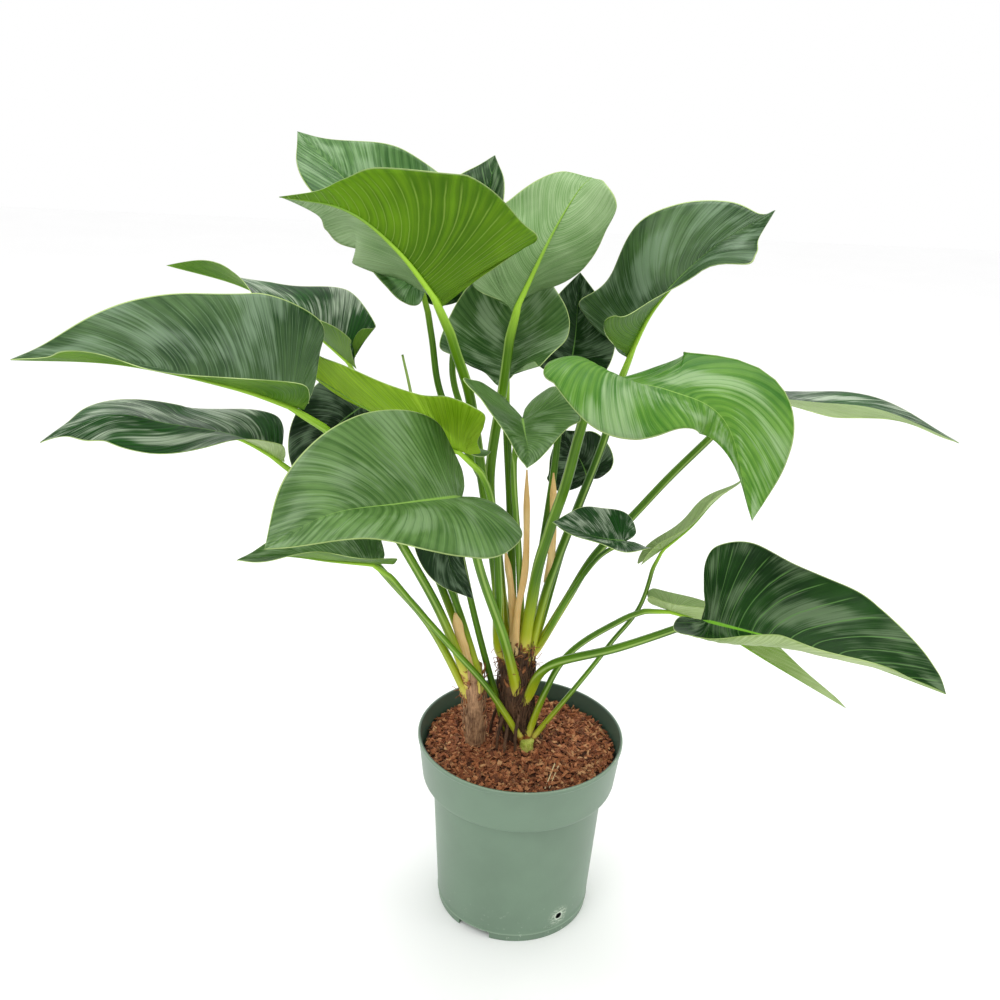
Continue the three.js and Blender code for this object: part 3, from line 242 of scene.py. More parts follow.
# Each leaf: the stem it stands on, whether it is a large one, the radius of its stalk at both ends,
# what its two faces look like, the points along its midrib from hinge to tip, the way its upper face
# looks at both ends and how late it twists between them, its two halves (width, fold up from the
# midrib at base, middle and tip, curl in degrees, and either the length of its lobe or an outline of
# its own), the wave of its margin (height, number, shift), and the stalk's points.
LEAVES = (
    {
        "name": "leaf_01", "stem": "middle", "large": True, "radius": (8, 5),
        "looks": (("mid", "pale"),),
        "midrib": ((-72, -130, 573), (-124, -200, 591), (-175, -270, 607), (-215, -335, 603)),
        "facing": ((0, -0.54, 0.84), (0, -0.6, 0.8)),
        "right": {"width": 94, "fold": (27, 27, 10), "lobe": 0.4},
        "left": {"width": 90, "fold": (27, 20, 10), "curl": (-50, -20, 0), "lobe": 0.5},
        "wave": (2, 3, 0),
        "stalk": ((-8, -6, 294), (-26, -37, 376), (-53, -77, 472)),
    },
    {
        "name": "leaf_02", "stem": "middle", "large": True, "radius": (8, 6),
        "looks": (("bright", "pale"),),
        "midrib": ((50, -70, 678), (116, -108, 680), (173, -112, 652), (197, -164, 575)),
        "facing": ((0.04, 0.12, 0.95), (-0.47, -0.77, 0.48)),
        "right": {"width": 90, "fold": (57, -10, -48), "curl": (-100, -46, 0), "outline": (
            (0, 0), (-0.01, 0.33), (-0.05, 0.62), (-0.07, 0.86), (-0.03, 1.1), (0.16, 1.11),
            (0.3, 0.83), (0.39, 0.48), (0.53, 0.31), (0.77, 0.08), (1, 0),
        )},
        "left": {"width": 79, "fold": (-8, 3, -21), "curl": (14, 2, 19), "outline": (
            (0, 0), (0.08, 0.12), (0.05, 0.35), (0.03, 0.6), (0.12, 0.86), (0.2, 1), (0.3, 0.97),
            (0.64, 0.76), (0.8, 0.52), (0.93, 0.2), (1, 0),
        )},
        "wave": (2, 3, 0.1),
        "stalk": ((-1, -6, 354), (8, -18, 447), (19, -26, 502), (31, -38, 555), (41, -52, 618)),
    },
    {
        "name": "leaf_03", "stem": "middle", "large": True, "radius": (8, 6),
        # Its left half's underside carries painted backlight, the right half's the plain pale colour.
        "looks": (("mid", "pale"), ("mid", "glowing")),
        "midrib": ((-101, -35, 734), (-145, -31, 786), (-197, -22, 821), (-271, 31, 824)),
        "facing": ((0, 1, 0.35), (0.13, 0.19, 0.55)), "twist": 3,
        "right": {"width": 78, "fold": (66, 27, -17), "outline": (
            (0, 0), (0.08, 0.31), (0.02, 0.62), (0.08, 0.85), (0.14, 0.95), (0.36, 1), (0.76, 0.77),
            (0.84, 0.54), (0.8, 0.22), (1, 0),
        )},
        "left": {"width": 112, "fold": (14, -3, 19), "curl": (11, 13, 10), "outline": (
            (0, 0), (0, 0.31), (-0.01, 0.62), (-0.02, 0.87), (-0.02, 1.03), (0.09, 0.98), (0.3, 0.9),
            (0.51, 0.52), (0.6, 0.28), (0.72, 0.13), (1, 0),
        )},
        "wave": (3, 4, 0.2),
        "stalk": (
            (-29, 1, 342), (-34, -12, 416), (-43, -14, 479), (-58, -9, 560), (-72, -15, 640),
            (-87, -26, 688),
        ),
    },
    {
        "name": "leaf_04", "stem": "middle", "large": True, "radius": (7, 6),
        "looks": (("mid", "pale"),),
        "midrib": ((-31, 13, 722), (2, 28, 794), (29, 54, 839), (43, 65, 853)),
        "facing": ((-0.18, 0.44, 0.19), (0.2, 0.18, -1.1)), "twist": 2,
        "right": {"width": 79, "fold": (35, 39, -8), "outline": (
            (0, 0), (0.03, 0.18), (0.04, 0.63), (0.29, 0.73), (0.51, 0.94), (0.66, 1.04), (0.74, 0.97),
            (0.86, 0.7), (0.98, 0.38), (1, 0),
        )},
        "left": {"width": 57, "fold": (54, 22, -3), "outline": (
            (0, 0), (0.01, 0.35), (0.01, 0.8), (0.12, 1.03), (0.25, 1.13), (0.42, 1), (0.7, 0.8),
            (0.87, 0.86), (0.98, 0.4), (1, 0),
        )},
        "wave": (2, 3, 0.3),
        "stalk": ((-22, 8, 345), (-35, 7, 446), (-48, 5, 541), (-38, 10, 645)),
    },
    {
        "name": "leaf_05", "stem": "left", "large": True, "radius": (7, 5),
        "looks": (("grey", "leafy"),),
        "midrib": ((-227, -97, 642), (-287, -127, 671), (-391, -122, 686), (-484, -139, 690)),
        "facing": ((0.26, -0.11, 0.9), (0.18, -0.24, 0.92)),
        "right": {"width": 104, "fold": (46, 34, 23), "lobe": 0.15},
        "left": {"width": 64, "fold": (45, 28, 50), "outline": (
            (0, 0), (0.02, 0.25), (0.03, 0.4), (0.07, 0.62), (0.15, 0.84), (0.31, 0.99), (0.54, 0.76),
            (0.8, 0.45), (0.88, 0.25), (1, 0),
        )},
        "wave": (4, 3, 0),
        "stalk": ((-68, -14, 319), (-100, -34, 408), (-145, -58, 505), (-186, -82, 593)),
    },
    {
        "name": "leaf_06", "stem": "middle", "large": True, "radius": (7, 5),
        "looks": (("grey", "leafy"),),
        "midrib": ((95, 70, 666), (121, 71, 724), (175, 82, 783), (240, 90, 826)),
        "facing": ((-0.56, -0.14, 0.72), (-0.48, -0.65, 0.71)),
        "right": {"width": 85, "fold": (58, 30, -29), "outline": (
            (0, 0), (0.05, 0.2), (0.05, 0.4), (0.08, 0.6), (0.14, 0.84), (0.19, 1.05), (0.25, 0.76),
            (0.66, 0.77), (0.81, 0.44), (0.87, 0.2), (1, 0),
        )},
        "left": {"width": 85, "fold": (33, 31, 7), "outline": (
            (0, 0), (0, 0.13), (0.02, 0.34), (0.03, 0.61), (0.07, 0.84), (0.12, 1.04), (0.26, 0.82),
            (0.53, 0.9), (0.84, 0.45), (0.94, 0.08), (1, 0),
        )},
        "wave": (4, 3, 0),
        "stalk": ((5, 0, 332), (22, 10, 415), (49, 28, 500), (76, 45, 583)),
    },
    {
        "name": "leaf_07", "stem": "middle", "large": True, "radius": (6, 5),
        # Its left half has the dark streaked look: painted shade and painted sheen where that half
        # slopes away.
        "looks": (("fresh", "pale"), ("streaked", "pale")),
        "midrib": ((233, 57, 632), (301, 62, 627), (376, 56, 623), (465, 52, 591)),
        "facing": ((0, 0, 1), (0, 0, 1)),
        "right": {"width": 66, "fold": (10, 2, 7), "lobe": -0.3},
        "left": {"width": 52, "fold": (-5, 2, 18), "lobe": -0.2},
        "wave": (2, 3, 0.1),
        "stalk": (
            (15, 5, 342), (44, 13, 397), (72, 20, 450), (112, 32, 495), (151, 45, 539), (193, 51, 586),
        ),
    },
    {
        "name": "leaf_08", "stem": "middle", "large": True, "radius": (7, 5),
        "looks": (("dark", "milky"),),
        "midrib": ((183, -60, 417), (263, -82, 409), (337, -119, 408), (415, -151, 394)),
        "facing": ((-0.09, 0.08, 0.92), (-0.11, 0.29, 0.96)),
        "right": {"width": 101, "fold": (-11, 5, 25), "curl": (53, 40, 11), "outline": (
            (0, 0), (-0.09, 0.05), (-0.1, 0.32), (-0.05, 0.59), (0.03, 0.79), (0.16, 1.07),
            (0.36, 1.02), (0.53, 0.72), (0.75, 0.5), (0.86, 0.16), (1, 0),
        )},
        "left": {"width": 107, "fold": (48, 32, 34), "outline": (
            (0, 0), (0, 0.17), (-0.02, 0.34), (-0.04, 0.61), (0, 0.82), (0.15, 1), (0.33, 0.93),
            (0.59, 0.8), (0.84, 0.5), (0.95, 0.24), (1, 0),
        )},
        "wave": (2, 3, 0.2),
        "stalk": ((7, -6, 284), (28, -25, 334), (102, -45, 372)),
    },
    {
        "name": "leaf_09", "stem": "left", "large": True, "radius": (6, 4),
        "looks": (("streaked", "milky"),),
        "midrib": (
            (-254, -66, 577), (-302, -69, 603), (-363, -80, 616), (-422, -77, 621), (-487, -92, 595),
        ),
        "facing": ((-0.32, -0.11, 0.89), (0.19, -0.1, 0.95)),
        "right": {"width": 81, "fold": (6, -11, 7), "outline": (
            (0, 0), (0.03, 0.22), (0.05, 0.4), (0.07, 0.6), (0.12, 0.84), (0.2, 0.94), (0.4, 0.93),
            (0.57, 0.77), (0.8, 0.5), (0.89, 0.18), (1, 0),
        )},
        "left": {"width": 55, "fold": (49, -19, -16), "outline": (
            (0, 0), (0.01, 0.18), (0.01, 0.33), (0.03, 0.59), (0.06, 0.84), (0.13, 1), (0.35, 0.82),
            (0.6, 0.8), (0.8, 0.49), (0.9, 0.12), (1, 0),
        )},
        "wave": (2, 3, 0.3),
        "stalk": (
            (-68, -10, 291), (-108, -10, 369), (-154, 0, 419), (-198, 0, 471), (-229, -25, 523),
        ),
    },
    {
        "name": "leaf_10", "stem": "middle", "large": True, "radius": (6, 4),
        "looks": (("mid", "lit"),),
        "midrib": ((-67, -82, 599), (-118, -66, 609), (-175, -39, 629), (-252, 9, 656)),
        "facing": ((-0.22, 0.64, 0.77), (-0.19, 0.79, 0.54)),
        "right": {"width": 62, "fold": (27, 22, 10), "lobe": 0.3},
        "left": {"width": 67, "fold": (29, 10, 23), "outline": (
            (0, 0), (-0.05, 0.13), (-0.03, 0.31), (-0.05, 0.61), (-0.04, 0.9), (0.11, 1), (0.25, 0.88),
            (0.58, 0.78), (0.82, 0.5), (0.97, 0.33), (1, 0),
        )},
        "wave": (2, 3, 0.4),
        "stalk": ((-31, -6, 346), (-33, -44, 432), (-38, -48, 494), (-48, -76, 560)),
    },
    {
        "name": "leaf_11", "stem": "middle", "large": True, "radius": (6, 4),
        "looks": (("glossy", "pale"),),
        "midrib": ((-128, 76, 734), (-162, 102, 787), (-219, 128, 834), (-283, 200, 877)),
        "facing": ((0, -0.37, 0.9), (0, -0.5, 0.8)),
        "right": {"width": 85, "fold": (21, 19, 0), "lobe": 0.5},
        "left": {"width": 70, "fold": (27, 17, 7), "lobe": 0.5},
        "wave": (2, 3, 0),
        "stalk": (
            (-21, 18, 345), (-34, 24, 428), (-47, 21, 511), (-77, 32, 569), (-106, 45, 625),
            (-117, 60, 680),
        ),
    },
    {
        "name": "leaf_12", "stem": "middle", "large": False, "radius": (6, 4),
        "looks": (("dark", "pale"),),
        "midrib": ((-89, 140, 707), (-72, 157, 772), (-64, 160, 821), (-59, 198, 861)),
        "facing": ((-0.26, -0.6, 0.6), (-0.18, -0.63, 0.6)),
        "right": {"width": 40, "fold": (27, 27, 18), "lobe": 0.5},
        "left": {"width": 78, "fold": (27, 32, 23), "lobe": 0.5},
        "wave": (2, 3, 0.1),
        "stalk": ((-19, 22, 348), (-38, 49, 432), (-57, 50, 524), (-77, 74, 580), (-96, 98, 636)),
    },
    {
        "name": "leaf_13", "stem": "middle", "large": True, "radius": (6, 5),
        "looks": (("banded", "pale"),),
        "midrib": ((-36, 37, 642), (-30, 66, 681), (-24, 87, 731), (-14, 112, 781)),
        "facing": ((-0.23, -0.85, 0.29), (0, -0.9, 0.4)),
        "right": {"width": 67, "fold": (39, 12, 10), "outline": (
            (0, 0), (0.01, 0.11), (0.07, 0.31), (0.08, 0.62), (0.03, 0.83), (0.15, 0.96), (0.38, 0.95),
            (0.55, 0.82), (0.74, 0.46), (0.92, 0.18), (1, 0),
        )},
        "left": {"width": 74, "fold": (24, 11, 10), "outline": (
            (0, 0), (-0.04, 0.1), (0.03, 0.33), (0.05, 0.58), (0.09, 0.82), (0.14, 1.04), (0.34, 0.99),
            (0.57, 0.8), (0.75, 0.46), (0.91, 0.18), (1, 0),
        )},
        "wave": (2, 3, 0.2),
        "stalk": ((-13, 22, 338), (-19, 30, 424), (-25, 30, 509), (-31, 34, 577)),
    },
    {
        "name": "leaf_14", "stem": "middle", "large": False, "radius": (6, 4),
        "looks": (("deep", "pale"),),
        "midrib": ((38, 128, 636), (42, 140, 671), (43, 152, 706), (44, 162, 740)),
        "facing": ((0, -0.8, 0.5), (0, -0.8, 0.5)),
        "right": {"width": 50, "fold": (27, 22, 10), "lobe": 0.5},
        "left": {"width": 50, "fold": (27, 22, 10), "lobe": 0.5},
        "wave": (2, 3, 0.3),
        "stalk": ((3, 20, 345), (13, 36, 437), (22, 52, 527), (27, 70, 590)),
    },
    {
        "name": "leaf_15", "stem": "front", "large": True, "radius": (5, 4),
        "looks": (("fresh", "milky"),),
        "midrib": ((151, 20, 390), (209, 10, 375), (286, 0, 333), (371, -10, 287)),
        "facing": ((0, 0.1, 1), (0.1, 0.1, 1)),
        "right": {"width": 30, "fold": (40, 75, 70), "lobe": 0.4},
        "left": {"width": 34, "fold": (25, 20, 10), "lobe": 0.4},
        "wave": (2, 3, 0.4),
        "stalk": ((9, -5, 231), (44, 0, 327), (107, 15, 373)),
    },
    {
        "name": "leaf_16", "stem": "front", "large": False, "radius": (4, 3),
        "looks": (("fresh", "milky"),),
        "midrib": ((145, 40, 448), (182, 55, 476), (209, 70, 503), (244, 90, 525)),
        "facing": ((-0.3, 0.3, 0.9), (-0.3, 0.2, 0.9)),
        "right": {"width": 22, "fold": (27, 22, 10), "lobe": 1},
        "left": {"width": 22, "fold": (27, 22, 10), "lobe": 1},
        "wave": (2, 3, 0),
        "stalk": ((15, -3, 224), (69, 5, 302), (100, 18, 344), (130, 28, 387)),
    },
    {
        "name": "leaf_17", "stem": "middle", "large": False, "radius": (4, 3),
        "looks": (("streaked", "pale"),),
        "midrib": ((101, -20, 487), (77, -35, 495), (46, -55, 510), (18, -75, 528)),
        "facing": ((0, -0.4, 0.9), (0, -0.4, 0.9)),
        "right": {"width": 38, "fold": (27, 22, 10), "lobe": 1},
        "left": {"width": 36, "fold": (27, 22, 10), "lobe": 1},
        "wave": (2, 3, 0.1),
        "stalk": ((18, 0, 349), (44, -5, 409), (73, -12, 462)),
    },
    {
        "name": "leaf_18", "stem": "middle", "large": False, "radius": (5, 4),
        "looks": (("mid", "pale"),),
        "midrib": ((-17, -31, 623), (-14, -70, 618), (-11, -112, 615), (-12, -131, 605)),
        "facing": ((0.05, -0.49, 0.85), (0.22, -0.68, 0.67)),
        "right": {"width": 74, "fold": (28, 29, 22), "curl": (16, 12, 2), "outline": (
            (0, 0), (-0.15, 0.15), (-0.3, 0.3), (-0.22, 0.6), (-0.07, 0.84), (0.11, 1.07),
            (0.33, 0.96), (0.56, 0.78), (0.71, 0.43), (0.91, 0.18), (1, 0),
        )},
        "left": {"width": 57, "fold": (33, 22, 9), "curl": (20, 4, 0), "outline": (
            (0, 0), (-0.18, 0.1), (-0.3, 0.31), (-0.24, 0.62), (-0.06, 0.83), (0.15, 0.96), (0.42, 1),
            (0.52, 0.73), (0.67, 0.45), (0.89, 0.17), (1, 0),
        )},
        "wave": (2, 3, 0.2),
        "stalk": ((-5, 3, 357), (-12, -5, 452), (-23, -28, 565)),
    },
    {
        "name": "leaf_19", "stem": "middle", "large": False, "radius": (4, 3),
        "looks": (("deep", "pale"),),
        "midrib": ((66, 105, 511), (56, 115, 530), (43, 125, 544), (31, 135, 559)),
        "facing": ((-0.3, -0.8, 0.3), (-0.3, -0.8, 0.3)),
        "right": {"width": 46, "fold": (27, 22, 10), "lobe": 0.5},
        "left": {"width": 46, "fold": (27, 22, 10), "lobe": 0.5},
        "wave": (2, 3, 0.3),
        "stalk": ((13, 15, 343), (36, 45, 432), (52, 75, 482)),
    },
    {
        "name": "leaf_20", "stem": "left", "large": True, "radius": (6, 4),
        "looks": (("streaked", "leafy"),),
        "midrib": ((-201, 77, 638), (-269, 142, 669), (-346, 189, 700), (-454, 240, 713)),
        "facing": ((-0.29, -0.08, 0.64), (-0.33, 0.52, 0.23)),
        "right": {"width": 62, "fold": (44, 18, 48), "lobe": -0.44},
        "left": {"width": 55, "fold": (90, 18, 36), "lobe": -0.05},
        "wave": (2, 3, 0.4),
        "stalk": ((-64, 0, 322), (-93, 10, 397), (-130, 28, 477), (-165, 45, 556)),
    },
    {
        "name": "leaf_21", "stem": "left", "large": False, "radius": (5, 4),
        "looks": (("deep", "pale"),),
        "midrib": ((-182, 30, 614), (-215, 30, 587), (-244, 30, 551), (-260, 30, 509)),
        "facing": ((-0.3, -0.7, 0.6), (-0.3, -0.7, 0.6)),
        "right": {"width": 50, "fold": (27, 22, 10), "lobe": 0.3},
        "left": {"width": 50, "fold": (27, 22, 10), "lobe": 0.3},
        "wave": (2, 3, 0),
        "stalk": (
            (-50, -15, 305), (-72, -13, 379), (-92, -8, 431), (-111, 0, 481), (-147, 15, 548),
        ),
    },
    {
        "name": "leaf_22", "stem": "front", "large": False, "radius": (5, 4),
        "looks": (("banded", "leafy"),),
        "midrib": ((-158, -60, 466), (-207, -80, 477), (-249, -100, 489), (-293, -120, 491)),
        "facing": ((0, -0.1, 1), (0, -0.1, 1)),
        "right": {"width": 48, "fold": (20, 20, 10), "lobe": 0.3},
        "left": {"width": 48, "fold": (35, 35, 10), "lobe": 0.3},
        "wave": (2, 3, 0.1),
        "stalk": ((0, -8, 227), (-41, -23, 301), (-83, -35, 358), (-122, -49, 413)),
    },
    {
        "name": "leaf_23", "stem": "front", "large": False, "radius": (5, 4),
        "looks": (("deep", "pale"),),
        "midrib": ((-88, -30, 529), (-92, -36, 498), (-84, -38, 455), (-60, -34, 417)),
        "facing": ((-0.2, -0.8, 0.5), (-0.2, -0.8, 0.5)),
        "right": {"width": 36, "fold": (27, 22, 10), "lobe": 0.3},
        "left": {"width": 24, "fold": (27, 22, 10), "lobe": 0.3},
        "wave": (2, 3, 0.2),
        "stalk": ((-9, 2, 214), (-33, 0, 284), (-59, -8, 384), (-77, -8, 463)),
    },
)

# The three stems, from the soil up: middle line, radius at both ends, the name and the dark and light
# browns of the bark, its slot, leaf scars, how many fibres, flakes and curls it has, and aerial roots
STEMS = {
    "left": {
        "name": "stem_left", "path": ((-52, -2, 202), (-56, -8, 274), (-59, -10, 322)),
        "bark": ("ringed brown bark", (84, 54, 32), (208, 164, 122)), "slot": "brown_bark",
        "radius": (12, 11), "rings": 7, "fibres": 46, "flakes": 12, "curls": 10,
        "roots": (),
    },
    "middle": {
        "name": "stem_middle",
        "path": ((-1, 10, 200), (-7, 8, 267), (-8, 7, 327), (-8, 7, 352)),
        "bark": ("dark fibrous bark", (30, 20, 14), (116, 82, 54)), "slot": "dark_fibre",
        "radius": (19, 19), "rings": 6, "fibres": 190, "flakes": 60, "curls": 26,
        "roots": (
            ((-18, -4, 262), (-26, -12, 232), (-27, -18, 204)),
            ((-14, -6, 248), (-18, -22, 222), (-16, -28, 203)),
            ((-2, -8, 262), (-6, -18, 236), (-5, -22, 206)),
            ((8, 10, 258), (20, 6, 232), (30, -4, 205)),
            ((-22, 12, 270), (-33, 14, 236), (-36, 12, 205)),
        ),
    },
    "front": {
        "name": "stem_front", "path": ((8, -12, 206), (8, -13, 226)),
        "bark": ("pale crown", (150, 172, 40), (222, 220, 120)), "slot": "pale_crown",
        "radius": (9, 8), "rings": 1, "fibres": 0, "flakes": 0, "curls": 0, "roots": (),
    },
}
ROOT_RADIUS = (2.4, 1.5)
SCALE_BARK = ("reddish brown scales", (84, 42, 22), (188, 124, 74))

# The rolled young leaf and the dry sheaths: middle line, and half width at both ends
STRIPS = (
    {
        "name": "young_leaf", "radius": (5, 1.2),
        "path": ((-62, 0, 322), (-112, 10, 513), (-134, 20, 622), (-145, 22, 670)),
    },
    {
        "name": "sheath_1", "radius": (4, 3),
        "path": ((-12, -12, 338), (-11, -15, 395), (-5, -13, 454), (-9, -8, 559)),
    },
    {
        "name": "sheath_2", "radius": (5, 3),
        "path": ((22, 12, 418), (24, 14, 445), (23, 18, 498), (21, 22, 546)),
    },
    {
        "name": "sheath_3", "radius": (5, 3),
        "path": ((-12, -8, 345), (-19, -8, 416), (-28, -8, 466)),
    },
    {
        "name": "sheath_4", "radius": (7, 5),
        "path": ((-62, -16, 316), (-72, -20, 357), (-80, -20, 392)),
    },
)
SHEATH_THICKNESS = 0.7
SHEATH_COLUMNS = 10
SHEATH_STEP = 4

# Straws that lie on the soil: a name, dark and light colours, and each one's two ends
STRAWS = (
    (
        "pale_straws", ((196, 166, 118), (250, 232, 192)),
        (((40, -43, 216), (28, -86, 213)), ((44, -47, 216), (33, -84, 213))),
    ),
    (
        "brown_straws", ((84, 50, 30), (150, 96, 60)),
        (
            ((30, -8, 246), (24, -14, 217)), ((-26, -20, 250), (-36, -31, 215)),
            ((60, 30, 216), (92, 12, 215)),
        ),
    ),
)
STRAW_RADIUS = (0.8, 0.6)


def tint(red, green, blue):
    """A given colour, as the linear colour that shaders take."""
    parts = [part / 255 for part in (red, green, blue)]
    linear = [p / 12.92 if p <= 0.04045 else ((p + 0.055) / 1.055) ** 2.4 for p in parts]
    return (*linear, 1.0)


# Shader helpers


def kept(held, name, build, **how):
    """What is held under a name already, or else what is built under it."""
    return held.get(name) or build(name, **how)


def feed(tree, socket, value):
    """Gives a socket a value, or another node's output."""
    if isinstance(value, bpy.types.NodeSocket):
        tree.links.new(value, socket)
    else:
        socket.default_value = value


def place(tree, kind, feeds=None, **settings):
    """One node with its settings, and what feeds its sockets: a value or another node's output."""
    node = tree.nodes.new(kind)
    for key, value in settings.items():
        setattr(node, key, value)
    for key, value in (feeds or {}).items():
        feed(tree, node.inputs[key], value)
    return node


def reckon(tree, operation, *values):
    """The result of one sum on values or sockets."""
    feeds = dict(enumerate(values))
    return place(tree, "ShaderNodeMath", feeds, operation=operation).outputs[0]


def times(tree, first, second):
    """Two values multiplied."""
    return reckon(tree, "MULTIPLY", first, second)


def scaled(tree, value, factor, more):
    """A value multiplied by a factor, and something more."""
    return reckon(tree, "MULTIPLY_ADD", value, factor, more)


def away(tree, value, middle):
    """How far a value is from a middle one."""
    return reckon(tree, "ABSOLUTE", reckon(tree, "SUBTRACT", value, middle))


def ease(tree, value, low, high):
    """0 below low, 1 above high, and a soft step between."""
    feeds = {"Value": value, "From Min": low, "From Max": high}
    node = place(tree, "ShaderNodeMapRange", feeds, interpolation_type="SMOOTHSTEP")
    return node.outputs["Result"]


def fade(tree, value, low, high):
    """1 below low, 0 above high, and a soft step between."""
    return reckon(tree, "SUBTRACT", 1.0, ease(tree, value, low, high))


def blend(tree, share, first, second):
    """Two colours mixed by a share."""
    feeds = {0: share, 6: first, 7: second}
    return place(tree, "ShaderNodeMix", feeds, data_type="RGBA").outputs[2]


def layered(tree, colour, *layers):
    """A colour with others laid over it in turn, each with the share that it covers."""
    for share, over in layers:
        colour = blend(tree, share, colour, tint(*over))
    return colour


def cloud(tree, where, scale, detail=3.0, rough=0.5, stretch=None):
    """Soft noise from 0 to 1, at places that may be stretched by a scale for each axis."""
    if stretch:
        feeds = {"Vector": where, "Scale": stretch}
        where = place(tree, "ShaderNodeMapping", feeds).outputs["Vector"]
    feeds = {"Vector": where, "Scale": scale, "Detail": detail, "Roughness": rough}
    return place(tree, "ShaderNodeTexNoise", feeds).outputs["Fac"]


def begun(name):
    """A new material, its tree, and the places that its patterns can follow."""
    material = bpy.data.materials.new(name)
    material.use_nodes = True
    tree = material.node_tree
    return material, tree, place(tree, "ShaderNodeTexCoord").outputs


def finish_material(material, colour, bump=None, rough=0.5, glow=None, **finish):
    """Principled finish for a material, with a relief and light that shines through if asked.

    Bump is a height and its depth in millimetres, glow a share of light and its colour.
    """
    tree = material.node_tree
    shader = tree.nodes["Principled BSDF"]
    feed(tree, shader.inputs["Base Color"], colour)
    feed(tree, shader.inputs["Roughness"], rough)
    for key, value in finish.items():
        shader.inputs[key.replace("_", " ").title().replace("Ior", "IOR")].default_value = value
    if bump:
        height, depth = bump
        feeds = {"Height": height, "Distance": depth * MM, "Strength": 1.0}
        normal = place(tree, "ShaderNodeBump", feeds).outputs["Normal"]
        tree.links.new(normal, shader.inputs["Normal"])
    if glow:
        share, shining = glow
        feeds = {"Color": shining}
        if bump:
            feeds["Normal"] = normal
        light = place(tree, "ShaderNodeBsdfTranslucent", feeds).outputs[0]
        feeds = {0: share, 1: shader.outputs[0], 2: light}
        both = place(tree, "ShaderNodeMixShader", feeds).outputs[0]
        tree.links.new(both, tree.nodes["Material Output"].inputs["Surface"])
    return material


def new_group(name, takes, gives, pattern):
    """A new shader group: the sockets that it takes, and those that it gives from its pattern."""
    tree = bpy.data.node_groups.new(name, "ShaderNodeTree")
    for label, kind in takes.items():
        tree.interface.new_socket(name=label, in_out="INPUT", socket_type=kind)
    for label in gives:
        tree.interface.new_socket(name=label, in_out="OUTPUT", socket_type="NodeSocketFloat")
    inside = tree.nodes.new("NodeGroupInput")
    outside = tree.nodes.new("NodeGroupOutput")
    for label, value in zip(gives, pattern(tree, inside.outputs)):
        tree.links.new(value, outside.inputs[label])
    return tree


def grouped(tree, name, takes, gives, pattern, **feeds):
    """A shared group placed in a material, as its outputs."""
    group = kept(bpy.data.node_groups, name, new_group, takes=takes, gives=gives, pattern=pattern)
    return place(tree, "ShaderNodeGroup", feeds, node_tree=group).outputs


def vein_pattern(tree, given):
    """Side veins, the pleats between them, fine streaks, midrib, margin, relief, and a mask of painted
    sheen.

    Place is the blade's own map, with the midrib at x 0.5 and the veins along lines of equal y.
    """
    where = given["Place"]
    spot = place(tree, "ShaderNodeSeparateXYZ", {0: where}).outputs
    across = times(tree, away(tree, spot["X"], 0.5), 2.0)
    wander = cloud(tree, where, 2.0, stretch=(3.0, 9.0, 1.0))
    along = reckon(tree, "ADD", spot["Y"], scaled(tree, wander, 0.006, -0.003))
    count = times(tree, along, given["Veins"])
    wave = reckon(tree, "COSINE", times(tree, count, 2 * math.pi))
    pleat = scaled(tree, wave, -0.5, 0.5)
    thin = reckon(tree, "DIVIDE", reckon(tree, "PINGPONG", count, 0.5), given["Width"])
    vein = times(tree, fade(tree, thin, 0.3, 1.0), fade(tree, across, 0.82, 0.98))
    fine = cloud(tree, where, 1.0, 3.0, 0.6, (2.0, 260.0, 1.0))
    broad = cloud(tree, where, 1.0, 3.0, 0.6, (2.6, 62.0, 1.0))
    streak = ease(tree, scaled(tree, broad, 0.5, times(tree, fine, 0.5)), 0.3, 0.7)
    taper = scaled(tree, spot["Y"], -0.04, 0.046)
    midrib = fade(tree, reckon(tree, "DIVIDE", across, taper), 0.6, 1.1)
    margin = ease(tree, across, 0.988, 0.995)
    height = scaled(tree, streak, 0.35, times(tree, pleat, 0.4))
    # Painted sheen: where patches of painted reflection lie on a face.
    patches = cloud(tree, where, 1.0, 2.0, stretch=(3.2, 8.0, 1.0))
    painted_sheen = ease(tree, scaled(tree, streak, 0.22, patches), 0.56, 0.8)
    return vein, pleat, streak, midrib, margin, height, painted_sheen


def veins_on(tree, where, veins, width):
    """The pattern of a blade, as a group's outputs."""
    return grouped(
        tree, "leaf veins",
        {"Place": "NodeSocketVector", "Veins": "NodeSocketFloat", "Width": "NodeSocketFloat"},
        ("Vein", "Pleat", "Streak", "Midrib", "Margin", "Height", "Painted sheen"), vein_pattern,
        Place=where, Veins=veins, Width=width,
    )


def wear_pattern(tree, given):
    """Soft blotches, fine grain and speckle."""
    where, scale = given["Place"], given["Scale"]
    speck = cloud(tree, where, times(tree, scale, 14.0), 3.0, 0.7)
    return (
        cloud(tree, where, scale, 4.0, 0.55),
        cloud(tree, where, times(tree, scale, 40.0), 2.0),
        ease(tree, speck, 0.62, 0.72),
    )


def wear_on(tree, where, scale):
    """The wear of plastic and bark, as a group's outputs."""
    return grouped(
        tree, "weathering", {"Place": "NodeSocketVector", "Scale": "NodeSocketFloat"},
        ("Blotch", "Grain", "Speckle"), wear_pattern, Place=where, Scale=scale,
    )


# Leaf materials


